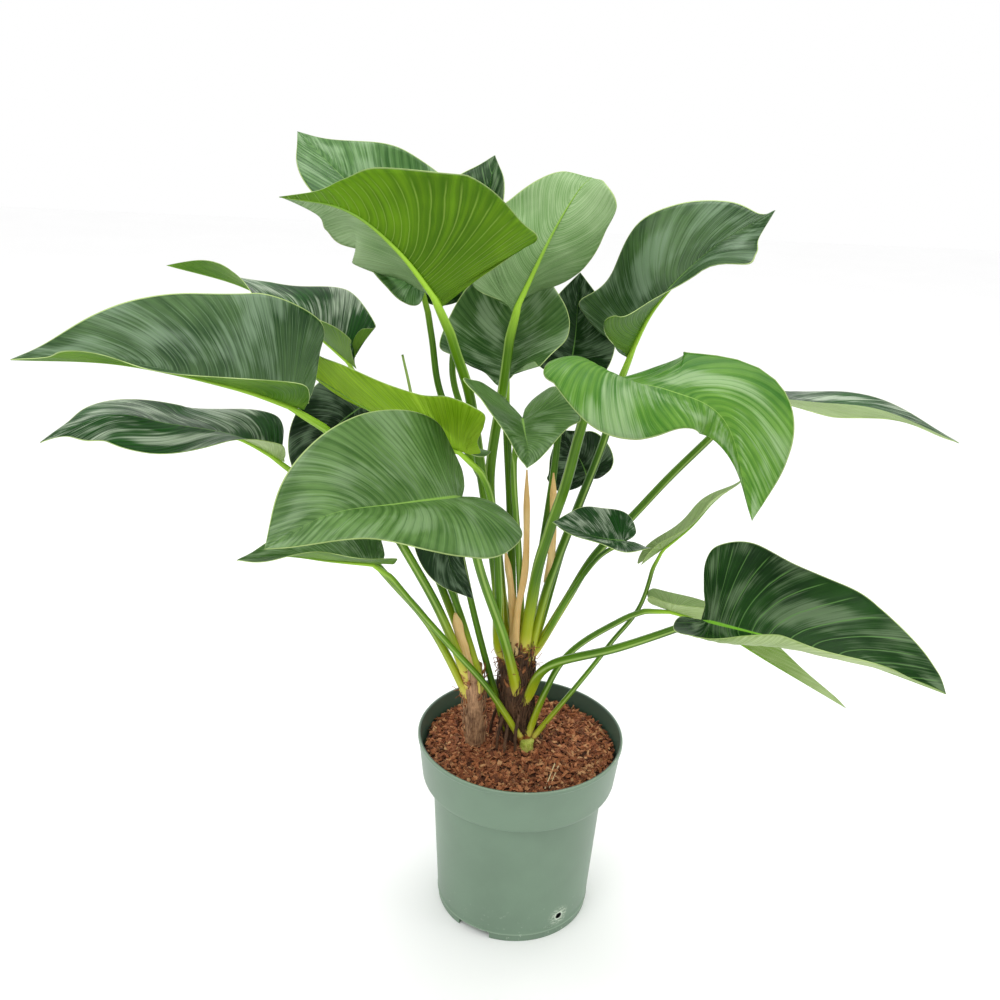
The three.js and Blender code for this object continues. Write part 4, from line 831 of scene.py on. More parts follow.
def blade_material(name, deep, light, vein, rib, painted_sheen=None, veins=54.0, width=0.08, rough=0.42,
                   share=0.3, through=(120, 175, 30), line=0.5, streaky=0.25, shine=0.3):
    """One face of a blade, from its deep and light greens to its veins, midrib, margin and painted
    sheen.
    """
    material, tree, spots = begun(name)
    pattern = veins_on(tree, spots["UV"], veins, width)
    patch = cloud(tree, spots["Object"], 13.0)
    shade = scaled(tree, patch, 1.3, -0.55)
    # Painted shade: the pleats darken the green along the side veins, where the blade dips, and lighten
    # it on the ridges between them.
    shade = scaled(tree, pattern["Pleat"], 0.2, shade)
    shade = scaled(tree, pattern["Streak"], 0.36, shade)
    shade = ease(tree, shade, -0.05, 0.85)
    colour = blend(tree, shade, tint(*deep), tint(*light))
    # Painted reflection: pale sheen colour laid over the green in soft patches and streaks.
    if painted_sheen:
        grey, amount = painted_sheen
        painted_sheen_bands = scaled(tree, pattern["Streak"], streaky, 1 - streaky)
        painted_sheen_bands = times(tree, times(tree, pattern["Painted sheen"], amount), painted_sheen_bands)
        colour = layered(tree, colour, (painted_sheen_bands, grey))
    colour = layered(
        tree, colour, (times(tree, pattern["Vein"], line), vein), (pattern["Midrib"], rib),
        (pattern["Margin"], PALE_EDGE),
    )
    dim = [round(part * GLOW_DIMMING) for part in through]
    glow = layered(tree, blend(tree, shade, tint(*dim), tint(*through)), (pattern["Vein"], vein))
    return finish_material(
        material, colour, bump=(pattern["Height"], BLADE_RELIEF),
        rough=scaled(tree, patch, 0.16, rough - 0.08), glow=(share, glow), specular_ior_level=shine,
    )


def edge_material(name):
    """The thin pale edge of a blade."""
    material, tree, spots = begun(name)
    patch = ease(tree, cloud(tree, spots["Object"], 22.0), 0.35, 0.65)
    colour = blend(tree, patch, tint(*PALE_EDGE), tint(120, 148, 66))
    return finish_material(material, colour, bump=(patch, 0.1))


def blade_materials(looks):
    """The upper face, the lower face and the edge, for each half of a blade that has its own look."""
    held = bpy.data.materials
    made = []
    for upper, lower in looks:
        made += [
            kept(held, f"{upper} leaf upper face", blade_material, **UPPER_FACES[upper]),
            kept(held, f"{lower} leaf lower face", blade_material, rough=0.5, **LOWER_FACES[lower]),
            kept(held, "leaf edge", edge_material),
        ]
    return made


def stalk_material(name):
    """Green stalks: streaked, pale at the foot, light along the edges, lime where they turn midrib."""
    material, tree, spots = begun(name)
    spot = place(tree, "ShaderNodeSeparateXYZ", {0: spots["UV"]}).outputs
    height = spot["Y"]
    streak = cloud(tree, spots["UV"], 1.0, 4.0, 0.6, (16.0, 1.6, 1.0))
    patch = cloud(tree, spots["Object"], 9.0, 2.0)
    shade = scaled(tree, patch, 0.7, times(tree, streak, 0.7))
    line = fade(tree, away(tree, away(tree, spot["X"], 0.5), 0.27), 0.015, 0.06)
    foot = fade(tree, height, 0.01, 0.06)
    rotted = times(tree, foot, cloud(tree, spots["Object"], 70.0, 3.0, 0.6))
    colour = layered(
        tree, blend(tree, ease(tree, shade, 0.4, 1.0), tint(30, 72, 1), tint(106, 152, 22)),
        (times(tree, line, 0.45), (180, 206, 118)),
        (times(tree, fade(tree, height, 0.03, 0.17), 0.7), (190, 196, 36)),
        (times(tree, foot, 0.85), (232, 214, 110)),
        (ease(tree, rotted, 0.36, 0.5), (140, 82, 36)),
        (ease(tree, height, 0.44, 0.52), (156, 200, 56)),
        (ease(tree, height, 0.56, 0.8), (124, 166, 56)),
    )
    return finish_material(
        material, colour, bump=(streak, 0.35), rough=0.36, specular_ior_level=0.25,
    )


def sheath_material(name):
    """Dry papery sheath, ochre with darker fibres along it."""
    material, tree, spots = begun(name)
    fibre = cloud(tree, spots["UV"], 1.0, 5.0, 0.65, (26.0, 1.2, 1.0))
    patch = cloud(tree, spots["Object"], 24.0)
    shade = scaled(tree, fibre, 0.8, times(tree, patch, 0.4))
    colour = blend(tree, ease(tree, shade, 0.4, 0.85), tint(234, 186, 104), tint(255, 240, 184))
    return finish_material(material, colour, bump=(fibre, 0.5), rough=0.7, glow=(0.3, colour))


def young_leaf_material():
    """The rolled young leaf, pale green with fine lines along it."""
    material, tree, spots = begun("rolled young leaf")
    streak = cloud(tree, spots["UV"], 1.0, 4.0, 0.6, (22.0, 2.0, 1.0))
    colour = blend(tree, ease(tree, streak, 0.3, 0.7), tint(96, 148, 44), tint(176, 200, 110))
    return finish_material(material, colour, bump=(streak, 0.3), rough=0.42)


# Curves and meshes


def curve(points, t):
    """Catmull-Rom curve through points of any size, at an array of places from 0 to 1."""
    points = np.asarray(points, float)
    last = len(points) - 1
    padded = np.vstack([2 * points[0] - points[1], points, 2 * points[-1] - points[-2]])
    run = np.clip(np.asarray(t, float), 0, 1) * last
    step = np.minimum(run.astype(int), last - 1)
    f = (run - step)[..., None]
    a, b, c, d = (padded[step + k] for k in range(4))
    return 0.5 * (
        2 * b + (c - a) * f + (2 * a - 5 * b + 4 * c - d) * f**2
        + (3 * b - a - 3 * c + d) * f**3
    )


def spaced(points, steps):
    """Points evenly spaced along a line that is already fine, and its length."""
    run = np.r_[0, np.cumsum(np.linalg.norm(np.diff(points, axis=0), axis=1))]
    at = np.linspace(0, run[-1], steps + 1)
    return np.stack([np.interp(at, run, points[:, k]) for k in range(3)], -1), run[-1]


def evenly(points, steps):
    """Points evenly spaced along the curve through a few points, and its length."""
    return spaced(curve(points, np.linspace(0, 1, 40 * len(points) + 1)), steps)


def unit(vectors):
    """Vectors brought to length 1."""
    return vectors / np.maximum(np.linalg.norm(vectors, axis=-1, keepdims=True), 1e-9)


def ways(path, lead):
    """At each point of a line: the way along it, and the way square to it that is nearest a lead."""
    along = unit(np.gradient(path, axis=0))
    return along, unit(lead - np.sum(lead * along, 1, keepdims=True) * along)


def graded(values, a):
    """A value given at the base, the middle and the tip, blended smoothly along a run from 0 to 1."""
    base, middle, tip = values
    a = np.clip(a, 0, 1)
    halves = (np.clip(a / 0.5, 0, 1), np.clip((a - 0.5) / 0.5, 0, 1))
    low, high = (x * x * (3 - 2 * x) for x in halves)
    return np.where(a < 0.5, base + (middle - base) * low, middle + (tip - middle) * high)


def taper(start, end):
    """A radius that changes evenly from one end to the other."""
    return lambda share: start + (end - start) * share


def grid(columns, rows):
    """A flat grid with its own map, and its corners' places from 0 to 1 in both directions."""
    mesh = bmesh.new()
    mesh.loops.layers.uv.new("UVMap")
    bmesh.ops.create_grid(mesh, x_segments=columns, y_segments=rows, size=1, calc_uvs=True)
    flat = np.array([v.co[:2] for v in mesh.verts])
    return mesh, (flat + 1) / 2


def move_to(mesh, points):
    """Puts the corners of a mesh at a list of points in millimetres."""
    for corner, point in zip(mesh.verts, points):
        corner.co = Vector(point) * MM


def swept(path, lead, sides, radius, shape):
    """A round body along evenly spaced points, closed at both ends.

    Radius is a function of the share of the way, shape one of the turn round it and that share, and
    lead the direction that the map's middle faces.
    """
    rows = len(path) - 1
    mesh, flat = grid(sides, rows)
    along, front = ways(path, lead)
    other = np.cross(along, front)
    row = np.rint(flat[:, 1] * rows).astype(int)
    turn = (flat[:, 0] - 0.5) * 2 * math.pi
    r = np.array([radius(i / rows) for i in range(rows + 1)])[row] * shape(turn, flat[:, 1])
    spread = front[row] * np.cos(turn)[:, None] + other[row] * np.sin(turn)[:, None]
    move_to(mesh, path[row] + spread * r[:, None])
    bmesh.ops.remove_doubles(mesh, verts=mesh.verts, dist=WELD)
    bmesh.ops.holes_fill(mesh, edges=[edge for edge in mesh.edges if edge.is_boundary], sides=0)
    bmesh.ops.recalc_face_normals(mesh, faces=mesh.faces)
    return mesh


def tube(points, radius, sides, step, lead, shape=lambda turn, share: 1):
    """A round body through a few points, with one lead all the way."""
    length = evenly(points, 2)[1]
    path = evenly(points, max(6, round(length / step)))[0]
    return swept(path, np.broadcast_to(np.asarray(lead, float), path.shape), sides, radius, shape)


def as_data(name, mesh):
    """Mesh data from a mesh that is then done with."""
    data = bpy.data.meshes.new(name)
    mesh.to_mesh(data)
    mesh.free()
    return data


def shown(name, data):
    """An object in the scene that holds some data."""
    made = bpy.data.objects.new(name, data)
    bpy.context.scene.collection.objects.link(made)
    return made


def joined(meshes):
    """Several meshes as one."""
    whole = bmesh.new()
    whole.loops.layers.uv.new("UVMap")
    for part in meshes:
        data = as_data("part", part)
        whole.from_mesh(data)
        bpy.data.meshes.remove(data)
    return whole


def piece(name, mesh, materials, slot, nodes):
    """A finished piece from a mesh: shown smooth, riding on the root and standing for its nodes."""
    data = as_data(name, mesh)
    data.shade_smooth()
    made = shown(name, data)
    for material in materials:
        data.materials.append(material)
    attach(made, "root")
    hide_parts(*nodes)
    return made


def thicken(made, thickness, **settings):
    """Gives a sheet its thickness, half on each side."""
    thick = made.modifiers.new("Thickness", "SOLIDIFY")
    thick.thickness = thickness
    thick.offset = 0
    for key, value in settings.items():
        setattr(thick, key, value)


# Pot


def pot_material(colour):
    """Satin moulded plastic, with mottle, grain, rubbed edges, dust and a scuffed ring at its hole, and
    painted shade in the hole and on the inside of the wall.
    """
    material, tree, spots = begun("green moulded plastic")
    spot = place(tree, "ShaderNodeSeparateXYZ", {0: spots["Object"]}).outputs
    wear = wear_on(tree, spots["Object"], 11.0)
    mottle = ease(tree, wear["Blotch"], 0.3, 0.7)
    skin = blend(tree, mottle, (*(part * 0.86 for part in colour), 1.0), (*colour, 1.0))
    low = fade(tree, spot["Z"], 12 * MM, 60 * MM)
    dust = times(tree, low, times(tree, wear["Speckle"], 0.5))
    skin = layered(tree, skin, (dust, (190, 200, 182)))
    for height, reach in ((POT_HEIGHT, 1.6), (FOOT_HEIGHT + 1, 1.8)):
        line = fade(tree, away(tree, spot["Z"], height * MM), 0, reach * MM)
        rubbed = times(tree, line, scaled(tree, wear["Speckle"], 0.5, 0.25))
        skin = layered(tree, skin, (rubbed, (184, 204, 178)))
    turn = math.radians(SIDE_HOLE_TURN)
    hole = (BASE_RADIUS * math.sin(turn), -BASE_RADIUS * math.cos(turn), SIDE_HOLE_HEIGHT)
    feeds = {0: spots["Object"], 1: [part * MM for part in hole]}
    gap = place(tree, "ShaderNodeVectorMath", feeds, operation="DISTANCE").outputs["Value"]
    near = fade(tree, gap, 4 * MM, 17 * MM)
    scuffs = cloud(tree, spots["Object"], 210.0, 4.0, 0.7, (1.0, 1.0, 2.6))
    ring = fade(tree, away(tree, gap, 5.2 * MM), 0.4 * MM, 1.1 * MM)
    # Painted shade: the bore of the side hole is coloured nearly black.
    painted_hole_shade = fade(tree, gap, 3.8 * MM, 4.6 * MM)
    feeds = {0: spot["X"], 1: spot["Y"]}
    feeds = {0: place(tree, "ShaderNodeCombineXYZ", feeds).outputs[0]}
    reach = place(tree, "ShaderNodeVectorMath", feeds, operation="LENGTH").outputs["Value"]
    # Painted shade: the inside of the wall above the collar's foot is coloured a darker green.
    lean = (RIM_RADIUS - COLLAR_RADIUS) / (POT_HEIGHT - COLLAR_BOTTOM)
    middle = COLLAR_RADIUS - lean * COLLAR_BOTTOM - WALL / 2
    wall = scaled(tree, spot["Z"], -lean, reach)
    inside = times(
        tree, fade(tree, wall, (middle - 0.3) * MM, (middle + 0.3) * MM),
        ease(tree, spot["Z"], (COLLAR_BOTTOM + 4) * MM, (COLLAR_BOTTOM + 8) * MM),
    )
    skin = layered(
        tree, skin, (times(tree, near, ease(tree, scuffs, 0.42, 0.66)), (206, 216, 196)),
        (times(tree, ring, 0.7), (206, 220, 200)), (painted_hole_shade, (16, 22, 20)),
        (times(tree, inside, 0.75), (48, 74, 62)),
    )
    fine = scaled(tree, wear["Grain"], 0.6, times(tree, mottle, 0.4))
    return finish_material(
        material, skin, bump=(fine, 0.12), rough=scaled(tree, wear["Blotch"], 0.14, 0.36),
        coat_weight=0.08, coat_roughness=0.3,
    )


def spun(profile, segments, arcs=None):
    """A shape spun round the upright axis from (radius, height) points, its marked corners rounded."""
    mesh = bmesh.new()
    corners = [mesh.verts.new((r * MM, 0, z * MM)) for r, z in profile]
    for pair in zip(corners, corners[1:]):
        mesh.edges.new(pair)
    for index, (width, steps) in sorted((arcs or {}).items(), reverse=True):
        bmesh.ops.bevel(
            mesh, geom=[corners[index]], offset=width * MM, offset_type="OFFSET",
            segments=steps, profile=0.5, material=-1, affect="VERTICES",
        )
    bmesh.ops.spin(
        mesh, geom=mesh.verts[:] + mesh.edges[:], cent=(0, 0, 0), axis=(0, 0, 1),
        angle=2 * math.pi, steps=segments, use_merge=True,
    )
    bmesh.ops.remove_doubles(mesh, verts=mesh.verts, dist=WELD)
    bmesh.ops.recalc_face_normals(mesh, faces=mesh.faces)
    return mesh


def cut_away(made, shapes):
    """Cuts shapes out of an object."""
    tool = shown("cut", as_data("cut", joined(shapes)))
    change = made.modifiers.new("Cut", "BOOLEAN")
    change.operation = "DIFFERENCE"
    change.solver = "EXACT"
    change.object = tool
    bpy.context.view_layer.update()
    graph = bpy.context.evaluated_depsgraph_get()
    data = bpy.data.meshes.new_from_object(made.evaluated_get(graph))
    spent = (made.data, tool.data)
    made.modifiers.clear()
    made.data = data
    bpy.data.objects.remove(tool)
    for old in spent:
        bpy.data.meshes.remove(old)


def pot_mesh():
    """The pot's wall from the foot ring up the tapered body to the collar and lip, and back inside."""
    foot = BASE_RADIUS - FOOT_INSET
    low, high = (BASE_RADIUS + 0.1, FOOT_HEIGHT + 2.2), (BODY_TOP_RADIUS, COLLAR_BOTTOM - 2)
    wall = [
        tuple(a + (b - a) * step / WALL_ROWS for a, b in zip(low, high)) for step in range(WALL_ROWS)
    ]
    profile = (
        (0, 0), (DISC_RADIUS, 0), (DISC_RADIUS + DISC_SLOPE, FLOOR_HEIGHT),
        (foot - FOOT_WIDTH - 1, FLOOR_HEIGHT), (foot - FOOT_WIDTH, 0), (foot, 0),
        (foot, FOOT_HEIGHT), (BASE_RADIUS + 0.5, FOOT_HEIGHT + 0.5),
        (BASE_RADIUS + 0.5, FOOT_HEIGHT + 1.6), *wall, high,
        (COLLAR_RADIUS - 1, COLLAR_BOTTOM - 0.6), (COLLAR_RADIUS + 0.8, COLLAR_BOTTOM + 6),
        (RIM_RADIUS - 1.2, POT_HEIGHT - 6), (RIM_RADIUS, POT_HEIGHT - 4.6), (RIM_RADIUS, POT_HEIGHT),
        (RIM_RADIUS - WALL - 0.4, POT_HEIGHT), (COLLAR_RADIUS - WALL, COLLAR_BOTTOM + 4),
        (BODY_TOP_RADIUS - WALL, COLLAR_BOTTOM - 4), (BASE_RADIUS - WALL, FLOOR_HEIGHT + WALL),
        (DISC_RADIUS, FLOOR_HEIGHT + WALL), (DISC_RADIUS - DISC_SLOPE, WALL), (0, WALL),
    )
    arcs = {5: (0.8, 3)}
    rounded = ((3, 4), (4, 6), None, (0.8, 2), (0.8, 2), (1.1, 4), (1.1, 4))
    arcs.update({9 + WALL_ROWS + k: arc for k, arc in enumerate(rounded) if arc})
    return spun(profile, POT_SEGMENTS, arcs)


def cylinder(radius, length, segments):
    """An upright cylinder."""
    made = bmesh.new()
    bmesh.ops.create_cone(
        made, cap_ends=True, segments=segments, radius1=radius * MM, radius2=radius * MM,
        depth=length * MM,
    )
    return made


def swung(shape, reach, height, degrees):
    """A shape moved out to the front and up, then swung round the pot's axis."""
    bmesh.ops.translate(shape, vec=Vector((0, -reach, height)) * MM, verts=shape.verts)
    turn = Matrix.Rotation(math.radians(degrees), 3, "Z")
    bmesh.ops.rotate(shape, matrix=turn, verts=shape.verts)
    return shape


def foot_notch():
    """The rounded block that leaves a notch in the foot ring."""
    width, depth, height = FOOT_CUT
    notch = bmesh.new()
    bmesh.ops.create_cube(notch, size=1)
    bmesh.ops.scale(notch, vec=Vector((width, depth, 2 * height)) * MM, verts=notch.verts)
    bmesh.ops.bevel(
        notch, geom=notch.edges[:], offset=2 * MM, segments=3, profile=0.5, material=-1,
        affect="EDGES",
    )
    return notch


def build_pot(sizes):
    """The pot, with its drain holes, the notches in its foot and the small hole low in its side."""
    made = piece("pot_moulding", pot_mesh(), [], "pot", ("pot",))
    shapes = [swung(foot_notch(), BASE_RADIUS, 0, turn) for turn in FOOT_TURNS]
    spacing = 360 / DRAIN_COUNT
    for index in range(DRAIN_COUNT):
        drain = cylinder(DRAIN_RADIUS, length=30, segments=24)
        shapes.append(swung(drain, DRAIN_REACH, FLOOR_HEIGHT, spacing * (index + 0.5)))
    hole = cylinder(SIDE_HOLE_RADIUS, length=24, segments=32)
    bmesh.ops.rotate(hole, matrix=Matrix.Rotation(math.pi / 2, 3, "X"), verts=hole.verts)
    shapes.append(swung(hole, BASE_RADIUS, SIDE_HOLE_HEIGHT, SIDE_HOLE_TURN))
    cut_away(made, shapes)
    made.data.materials.clear()
    made.data.materials.append(pot_material(sizes.pot_colour))
    made.data.shade_smooth()
    made.data.set_sharp_from_angle(angle=math.radians(SHARP_EDGE))


# Soil


def soil_material(name, browns):
    """Bark and coir: each chip has its own brown, by the place of its faces on the map."""
    material, tree, spots = begun(name)
    chip = place(tree, "ShaderNodeTexWhiteNoise", {"Vector": spots["UV"]}, noise_dimensions="2D")
    ramp = place(tree, "ShaderNodeValToRGB", {"Fac": chip.outputs["Value"]})
    parts = ramp.color_ramp.elements
    while len(parts) < len(browns):
        parts.new(0.5)
    for part, (at, colour) in zip(parts, browns):
        part.position = at
        part.color = tint(*colour)
    fibre = cloud(tree, spots["Object"], 900.0, 3.0, 0.6, (1.0, 1.0, 2.5))
    colour = layered(tree, ramp.outputs["Color"], (times(tree, fibre, 0.5), (52, 28, 18)))
    return finish_material(material, colour, bump=(fibre, 0.4), rough=0.85)


def soil_height(x, y):
    """Height of the soil over a place."""
    r = math.hypot(x, y) / COLLAR_RADIUS
    bumps = math.sin(0.31 * x + 0.9) * math.cos(0.27 * y) + 0.6 * math.sin(0.53 * y - 0.21 * x)
    return SOIL_TOP + SOIL_DOME * (1 - r * r) + SOIL_RELIEF * bumps


def soil_mesh():
    """The soil's body, from low in the pot up to its uneven top."""
    wall = COLLAR_RADIUS - WALL - SOIL_SLACK
    shoulder = (BODY_TOP_RADIUS - WALL - 3, SOIL_SHOULDER)
    profile = [(0, SOIL_BOTTOM), (SOIL_BOTTOM_RADIUS, SOIL_BOTTOM), shoulder, (wall - 1, SOIL_EDGE)]
    for ring in range(SOIL_RINGS + 1):
        profile.append(((wall + 1.5) * (1 - ring / SOIL_RINGS), SOIL_FLAT))
    body = spun(profile, SOIL_SEGMENTS)
    body.loops.layers.uv.new("UVMap")
    for corner in body.verts:
        if corner.co.z > (SOIL_EDGE + 1) * MM:
            corner.co.z = (soil_height(corner.co.x / MM, corner.co.y / MM) - BED_DROP) * MM
    return body


def chip_mesh(dice):
    """One flake of bark: a block with its corners knocked about."""
    chip = bmesh.new()
    bmesh.ops.create_cube(chip, size=1)
    size = Vector([dice.uniform(*span) for span in CHIP_SIZES])
    bmesh.ops.scale(chip, vec=size * MM, verts=chip.verts)
    for corner in chip.verts:
        corner.co *= dice.uniform(0.65, 1.15)
        corner.co += Vector([dice.uniform(-0.35, 0.35) for _ in range(3)]) * MM
    return chip


def chip_place(dice):
    """Where a chip lies on the soil, and which way it is tilted and turned."""
    angle = dice.uniform(0, 2 * math.pi)
    r = CHIP_REACH * math.sqrt(dice.uniform(0, 1))
    x, y = r * math.cos(angle), r * math.sin(angle)
    tilts = [Matrix.Rotation(dice.gauss(0, CHIP_TILT), 4, axis) for axis in ("X", "Y")]
    turn = Matrix.Rotation(dice.uniform(0, 2 * math.pi), 4, "Z")
    height = soil_height(x, y) + dice.uniform(*CHIP_LIFTS)
    return Matrix.Translation(Vector((x, y, height)) * MM) @ turn @ (tilts[0] @ tilts[1])


def chip_heap(dice, count):
    """Loose chips all over the soil, each with its own spot on the map."""
    samples = [as_data("chip", chip_mesh(dice)) for _ in range(CHIP_KINDS)]
    heap = bmesh.new()
    brown = heap.loops.layers.uv.new("UVMap")
    for index in range(count):
        corners_before, faces_before = len(heap.verts), len(heap.faces)
        move = chip_place(dice)
        heap.from_mesh(samples[index % CHIP_KINDS])
        heap.verts.ensure_lookup_table()
        heap.faces.ensure_lookup_table()
        for corner in heap.verts[corners_before:]:
            corner.co = move @ corner.co
        key = (dice.random(), dice.random())
        for face in heap.faces[faces_before:]:
            for loop in face.loops:
                loop[brown].uv = key
    for data in samples:
        bpy.data.meshes.remove(data)
    return heap


def build_soil(sizes):
    """The soil's body, the loose chips that cover it, and the straws that lie on them."""
    piece("soil_bed", soil_mesh(), [soil_material("damp coir", COIR_BROWNS)], "soil", ("soil",))
    heap = chip_heap(random.Random(SEED), sizes.chip_count)
    for name, colours, ends in STRAWS:
        lines = [tube(line, taper(*STRAW_RADIUS), 6, 4.0, (0, 0, 1)) for line in ends]
        skin = bark_material(name.replace("_", " "), *colours)
        piece(name, joined(lines), [skin], "soil", ("soil",))
    loose = piece("soil_chips", heap, [soil_material("bark chips", CHIP_BROWNS)], "soil", ("soil",))
    loose.data.shade_flat()


# Stems


def bark_material(name, deep, light):
    """Rough fibrous skin, between a dark and a light colour."""
    material, tree, spots = begun(name)
    wear = wear_on(tree, spots["Object"], 60.0)
    fibre = cloud(tree, spots["Object"], 700.0, 4.0, 0.65, (1.0, 1.0, 0.12))
    shade = scaled(tree, fibre, 0.7, times(tree, wear["Blotch"], 0.5))
    colour = blend(tree, ease(tree, shade, 0.35, 0.85), tint(*deep), tint(*light))
    return finish_material(material, colour, bump=(shade, 1.2), rough=0.8)


def scarred(rings):
    """The shape of a stem with rings of leaf scars, and lumps between them."""

    def shape(turn, share):
        scar = np.abs(np.sin(np.pi * (rings * share + 0.35 * np.sin(turn)))) ** 0.35
        lumps = 0.05 * np.sin(3 * turn + 9 * share) + 0.04 * np.sin(7 * turn - 23 * share)
        return 0.82 + 0.16 * scar + lumps

    return shape


def knotty(turn, share):
    """The shape of an aerial root, with slow swellings round and along it."""
    return 1 + 0.12 * np.sin(5 * turn + 31 * share)


def build_stems():
    """The three stems with their leaf scars, roots and fibres, and the dry scales that stand off."""
    dice = random.Random(SEED + 1)
    for stem in STEMS.values():
        name, slot = stem["name"], stem["slot"]
        skin = scarred(stem["rings"])
        parts = [tube(stem["path"], taper(*stem["radius"]), 28, 1.6, TO_FRONT, skin)]
        parts += [tube(root, taper(*ROOT_RADIUS), 8, 3.0, TO_FRONT, knotty) for root in stem["roots"]]
        parts += fibres(stem, dice)
        piece(f"{name}_bark", joined(parts), [bark_material(*stem["bark"])], slot, (name,))
        if stem["flakes"]:
            chaff = joined(flakes(stem, dice) + curls(stem, dice))
            piece(f"{name}_chaff", chaff, [bark_material(*SCALE_BARK)], slot, (name,))


def outward(turn):
    """The level direction away from a stem's middle line, by the turn round it."""
    return np.array((math.cos(turn), math.sin(turn), 0))


def on_stem(stem, share, turn, out):
    """A place beside a stem: how far up, which way round, and how far from its middle line."""
    return curve(stem["path"], np.array([share]))[0] + out * outward(turn)


def flakes(stem, dice):
    """Dry scales left by old leaves, standing off the stem."""
    made = []
    radius = stem["radius"][0]
    for _ in range(stem["flakes"]):
        share, turn = dice.uniform(0.3, 0.97), dice.uniform(0, 2 * math.pi)
        low = on_stem(stem, share, turn, radius * 0.96)
        lean = dice.uniform(0.5, 5.5)
        high = on_stem(stem, share, turn + dice.uniform(-0.35, 0.35), radius + lean)
        high = high + np.array((0, 0, dice.uniform(5, 13)))
        middle = (low + high) / 2 + outward(turn) * dice.uniform(0, 2)
        width = dice.uniform(1.6, 4.2)
        made.append(tube(
            (low, middle, high), taper(width, width * 0.25), sides=8, step=3.0, lead=outward(turn),
            shape=lambda angle, t: 0.22 + 0.78 * np.abs(np.sin(angle)) ** 1.5,
        ))
    return made


def curls(stem, dice):
    """Thin curled strands that stand away from the stem."""
    made = []
    radius = stem["radius"][0]
    for _ in range(stem["curls"]):
        share, turn = dice.uniform(0.45, 0.98), dice.uniform(0, 2 * math.pi)
        points = [on_stem(stem, share, turn, radius)]
        for step in range(1, 5):
            out = radius + step * dice.uniform(1.2, 3.4)
            spot = on_stem(stem, share, turn + dice.uniform(-0.4, 0.4), out)
            points.append(spot + np.array((0, 0, dice.uniform(-5, 5))))
        made.append(tube(points, taper(0.6, 0.35), sides=5, step=2.5, lead=STRAND_LEAD))
    return made


def fibres(stem, dice):
    """Loose strands that hang on a stem: dry roots and rotted sheath."""
    path = evenly(stem["path"], 40)[0]
    radius = stem["radius"][0]
    strands = []
    for _ in range(stem["fibres"]):
        low = dice.randint(4, 30)
        high = min(40, low + dice.randint(5, 14))
        turn = dice.uniform(0, 2 * math.pi)
        points = []
        for step in range(4):
            spot = path[round(low + (high - low) * step / 3)]
            out = radius * (1.0 + 0.04 * step) + dice.uniform(-0.6, 2.2)
            points.append(spot + out * outward(turn + dice.uniform(-0.16, 0.16)))
        strands.append(tube(points, taper(0.75, 0.35), sides=5, step=6.0, lead=STRAND_LEAD))
    return strands


# Leaves


def leaf_frame(leaf, steps):
    """Evenly spaced points along a blade's midrib, its length, and which ways are along it and up."""
    spine, length = evenly(leaf["midrib"], steps)
    share = np.linspace(0, 1, steps + 1)[:, None] ** leaf.get("twist", 1)
    start, end = (np.array(v, float) for v in leaf["facing"])
    along, up = ways(spine, start * (1 - share) + end * share)
    return spine, length, along, up


def half_outline(half):
    """The outline of half a blade: its own, or the heart with its lobe lengthened or shortened."""
    if "outline" in half:
        return half["outline"]
    lobe = half.get("lobe", 1)
    return [(along * lobe if along < 0 else along, across) for along, across in HEART]


def blade_points(leaf, signed, s, relief, veins):
    """Points of a blade for places across it, from -1 on the left margin to 1 on the right, and s."""
    spine, length, along, up = leaf_frame(leaf, SPINE_STEPS)
    side = np.cross(along, up)
    out = np.zeros((len(s), 3))
    height, number, shift = leaf["wave"]
    for sign, half in ((1, leaf["right"]), (-1, leaf["left"])):
        mine = signed >= 0 if sign > 0 else signed < 0
        v, at = np.abs(signed[mine]), s[mine]
        edge = curve(half_outline(half), at)
        beyond = np.clip((at - HINGE_SHARE) / (1 - HINGE_SHARE), 0, 1) ** RIB_BUNCHING
        beyond = HINGE_SPREAD + (1 - HINGE_SPREAD) * beyond
        root = np.where(at < HINGE_SHARE, HINGE_SPREAD / HINGE_SHARE * at, beyond)
        a = root + (edge[:, 0] - root) * v**SWEEP
        b = np.maximum(edge[:, 1], 0) * v
        fold = np.radians(graded(half["fold"], a))
        curl = np.radians(graded(half.get("curl", (0, 0, 0)), a))
        curl = np.where(np.abs(curl) < 1e-4, 1e-4, curl)
        bend = half["width"] / curl
        reach = bend * (np.sin(fold + curl * b) - np.sin(fold))
        lift = bend * (np.cos(fold) - np.cos(fold + curl * b))
        envelope = np.sin(np.pi * at) ** 0.5
        lift = lift + height * v**2 * np.sin(2 * np.pi * (number * at + shift)) * envelope
        pleat = -np.cos(2 * np.pi * veins * at) * np.sin(np.pi * np.clip(v, 0, 1)) ** 0.7
        lift = lift + relief * pleat * envelope
        where = np.clip(a, 0, 1) * SPINE_STEPS
        i = np.minimum(where.astype(int), SPINE_STEPS - 1)
        f = (where - i)[:, None]
        middle, aside, above = (line[i] * (1 - f) + line[i + 1] * f for line in (spine, side, up))
        middle = middle + np.minimum(a, 0)[:, None] * length * along[0]
        out[mine] = middle + sign * unit(aside) * reach[:, None] + unit(above) * lift[:, None]
    return out


